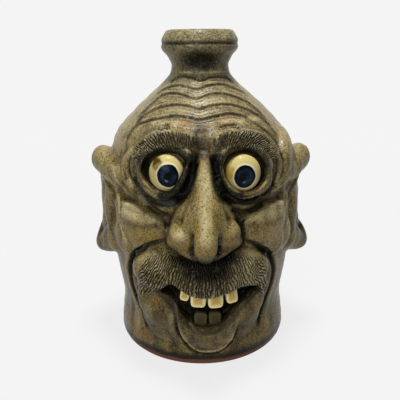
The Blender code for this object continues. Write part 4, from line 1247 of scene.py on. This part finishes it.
class JUG_OT_studio(Operator):
    """Lay the pale floor, hang the lights and set the camera"""

    bl_idname = "jug.studio"
    bl_label = "Studio"

    def execute(self, context):
        studio = context.scene.jug_studio
        bpy.ops.object.select_all(action="DESELECT")
        bpy.ops.mesh.primitive_grid_add(x_subdivisions=60, y_subdivisions=60, size=6, location=(0, 0, 0))
        paper = context.object
        paper.name = paper.data.name = "studio_paper"
        # The far half is swept up into a wall
        places, _ = mesh_arrays(paper)
        places[:, 2] = np.clip(places[:, 1] - 1.0, 0, None) ** 2 * 0.9
        moved(paper, places)
        paper.data.shade_smooth()

        target = Vector((0, 0, JUG_HEIGHT / 2))
        lights = (("overhead", (0.0, -0.10, 1.05), 0.2, studio.overhead_power),
                  ("front", (-0.35, -0.85, 0.6), 0.6, studio.front_power))
        _, facing = mesh_arrays(paper)
        received = np.full(len(places), studio.air)
        for name, hung, size, power in lights:
            bpy.ops.object.light_add(type="AREA", location=hung)
            lamp = context.object
            lamp.name = f"studio_{name}"
            lamp.data.size = size
            lamp.data.energy = power
            aim = (target - Vector(hung)).normalized()
            lamp.rotation_euler = aim.to_track_quat("-Z", "Y").to_euler()
            ways = places - np.array(hung)
            far = np.linalg.norm(ways, axis=1)
            leaving = np.clip(ways @ np.array(aim) / far, 0, 1)
            landing = np.clip(-np.sum(ways * facing, axis=1) / far, 0, 1)
            received += power * leaving * landing / (math.pi * far) ** 2
        # The paper glows where the lamps fall off, so that it looks the same all over
        painted(paper.data, "glow", studio.paper_look - studio.paper_tone * received)
        sheet, shader, place = new_material("studio_paper")
        given(shader, {"Base Color": (studio.paper_tone,) * 3 + (1,), "Roughness": 0.9, "Specular IOR Level": 0.0,
                       "Emission Color": (1, 1, 1, 1), "Emission Strength": place.read("glow")})
        paper.data.materials.append(sheet)

        world = bpy.data.worlds.new("studio_air")
        context.scene.world = world
        world.use_nodes = True
        tree = world.node_tree
        # Past the paper's edges the room looks as pale as the paper, and gives no more light than the air does
        seen = Field(tree, tree.nodes.new("ShaderNodeLightPath").outputs["Is Camera Ray"])
        given(tree.nodes["Background"], {0: (1, 1, 1, 1), 1: seen.eased(0.0, 1.0, studio.air, studio.paper_look)})
        context.scene.view_settings.view_transform = "Standard"

        bpy.ops.object.camera_add(location=(-0.001, -studio.camera_distance, studio.camera_height))
        camera = context.object
        camera.name = "studio_camera"
        pitch, lean = math.radians(90 - CAMERA_DIP), math.radians(-CAMERA_LEAN)
        camera.rotation_euler = (Matrix.Rotation(pitch, 4, "X") @ Matrix.Rotation(lean, 4, "Z")).to_euler()
        camera.data.sensor_width = 36
        camera.data.lens = 36 * studio.focal_share
        camera.data.dof.use_dof = False
        context.scene.camera = camera
        return {"FINISHED"}


class JUG_PT_panel(Panel):
    """The face jug's pieces and their settings"""

    bl_label = "Face jug"
    bl_idname = "JUG_PT_panel"
    bl_space_type = "VIEW_3D"
    bl_region_type = "UI"
    bl_category = "Face jug"

    def draw(self, context):
        for operator in OPERATORS:
            self.layout.operator(operator.bl_idname)
        for group in (context.scene.jug_clay, context.scene.jug_glaze, context.scene.jug_studio):
            column = self.layout.box().column()
            for name in group.__annotations__:
                column.prop(group, name)


OPERATORS = (JUG_OT_body, JUG_OT_eyes, JUG_OT_teeth, JUG_OT_studio)
CLASSES = (JugClay, JugGlaze, JugStudio, *OPERATORS, JUG_PT_panel)


def register():
    for cls in CLASSES:
        bpy.utils.register_class(cls)
    bpy.types.Scene.jug_clay = PointerProperty(type=JugClay)
    bpy.types.Scene.jug_glaze = PointerProperty(type=JugGlaze)
    bpy.types.Scene.jug_studio = PointerProperty(type=JugStudio)


def unregister():
    for name in ("jug_clay", "jug_glaze", "jug_studio"):
        delattr(bpy.types.Scene, name)
    for cls in reversed(CLASSES):
        bpy.utils.unregister_class(cls)


def main():
    register()
    for operator in OPERATORS:
        group, name = operator.bl_idname.split(".")
        getattr(getattr(bpy.ops, group), name)()


if __name__ == "__main__":
    main()
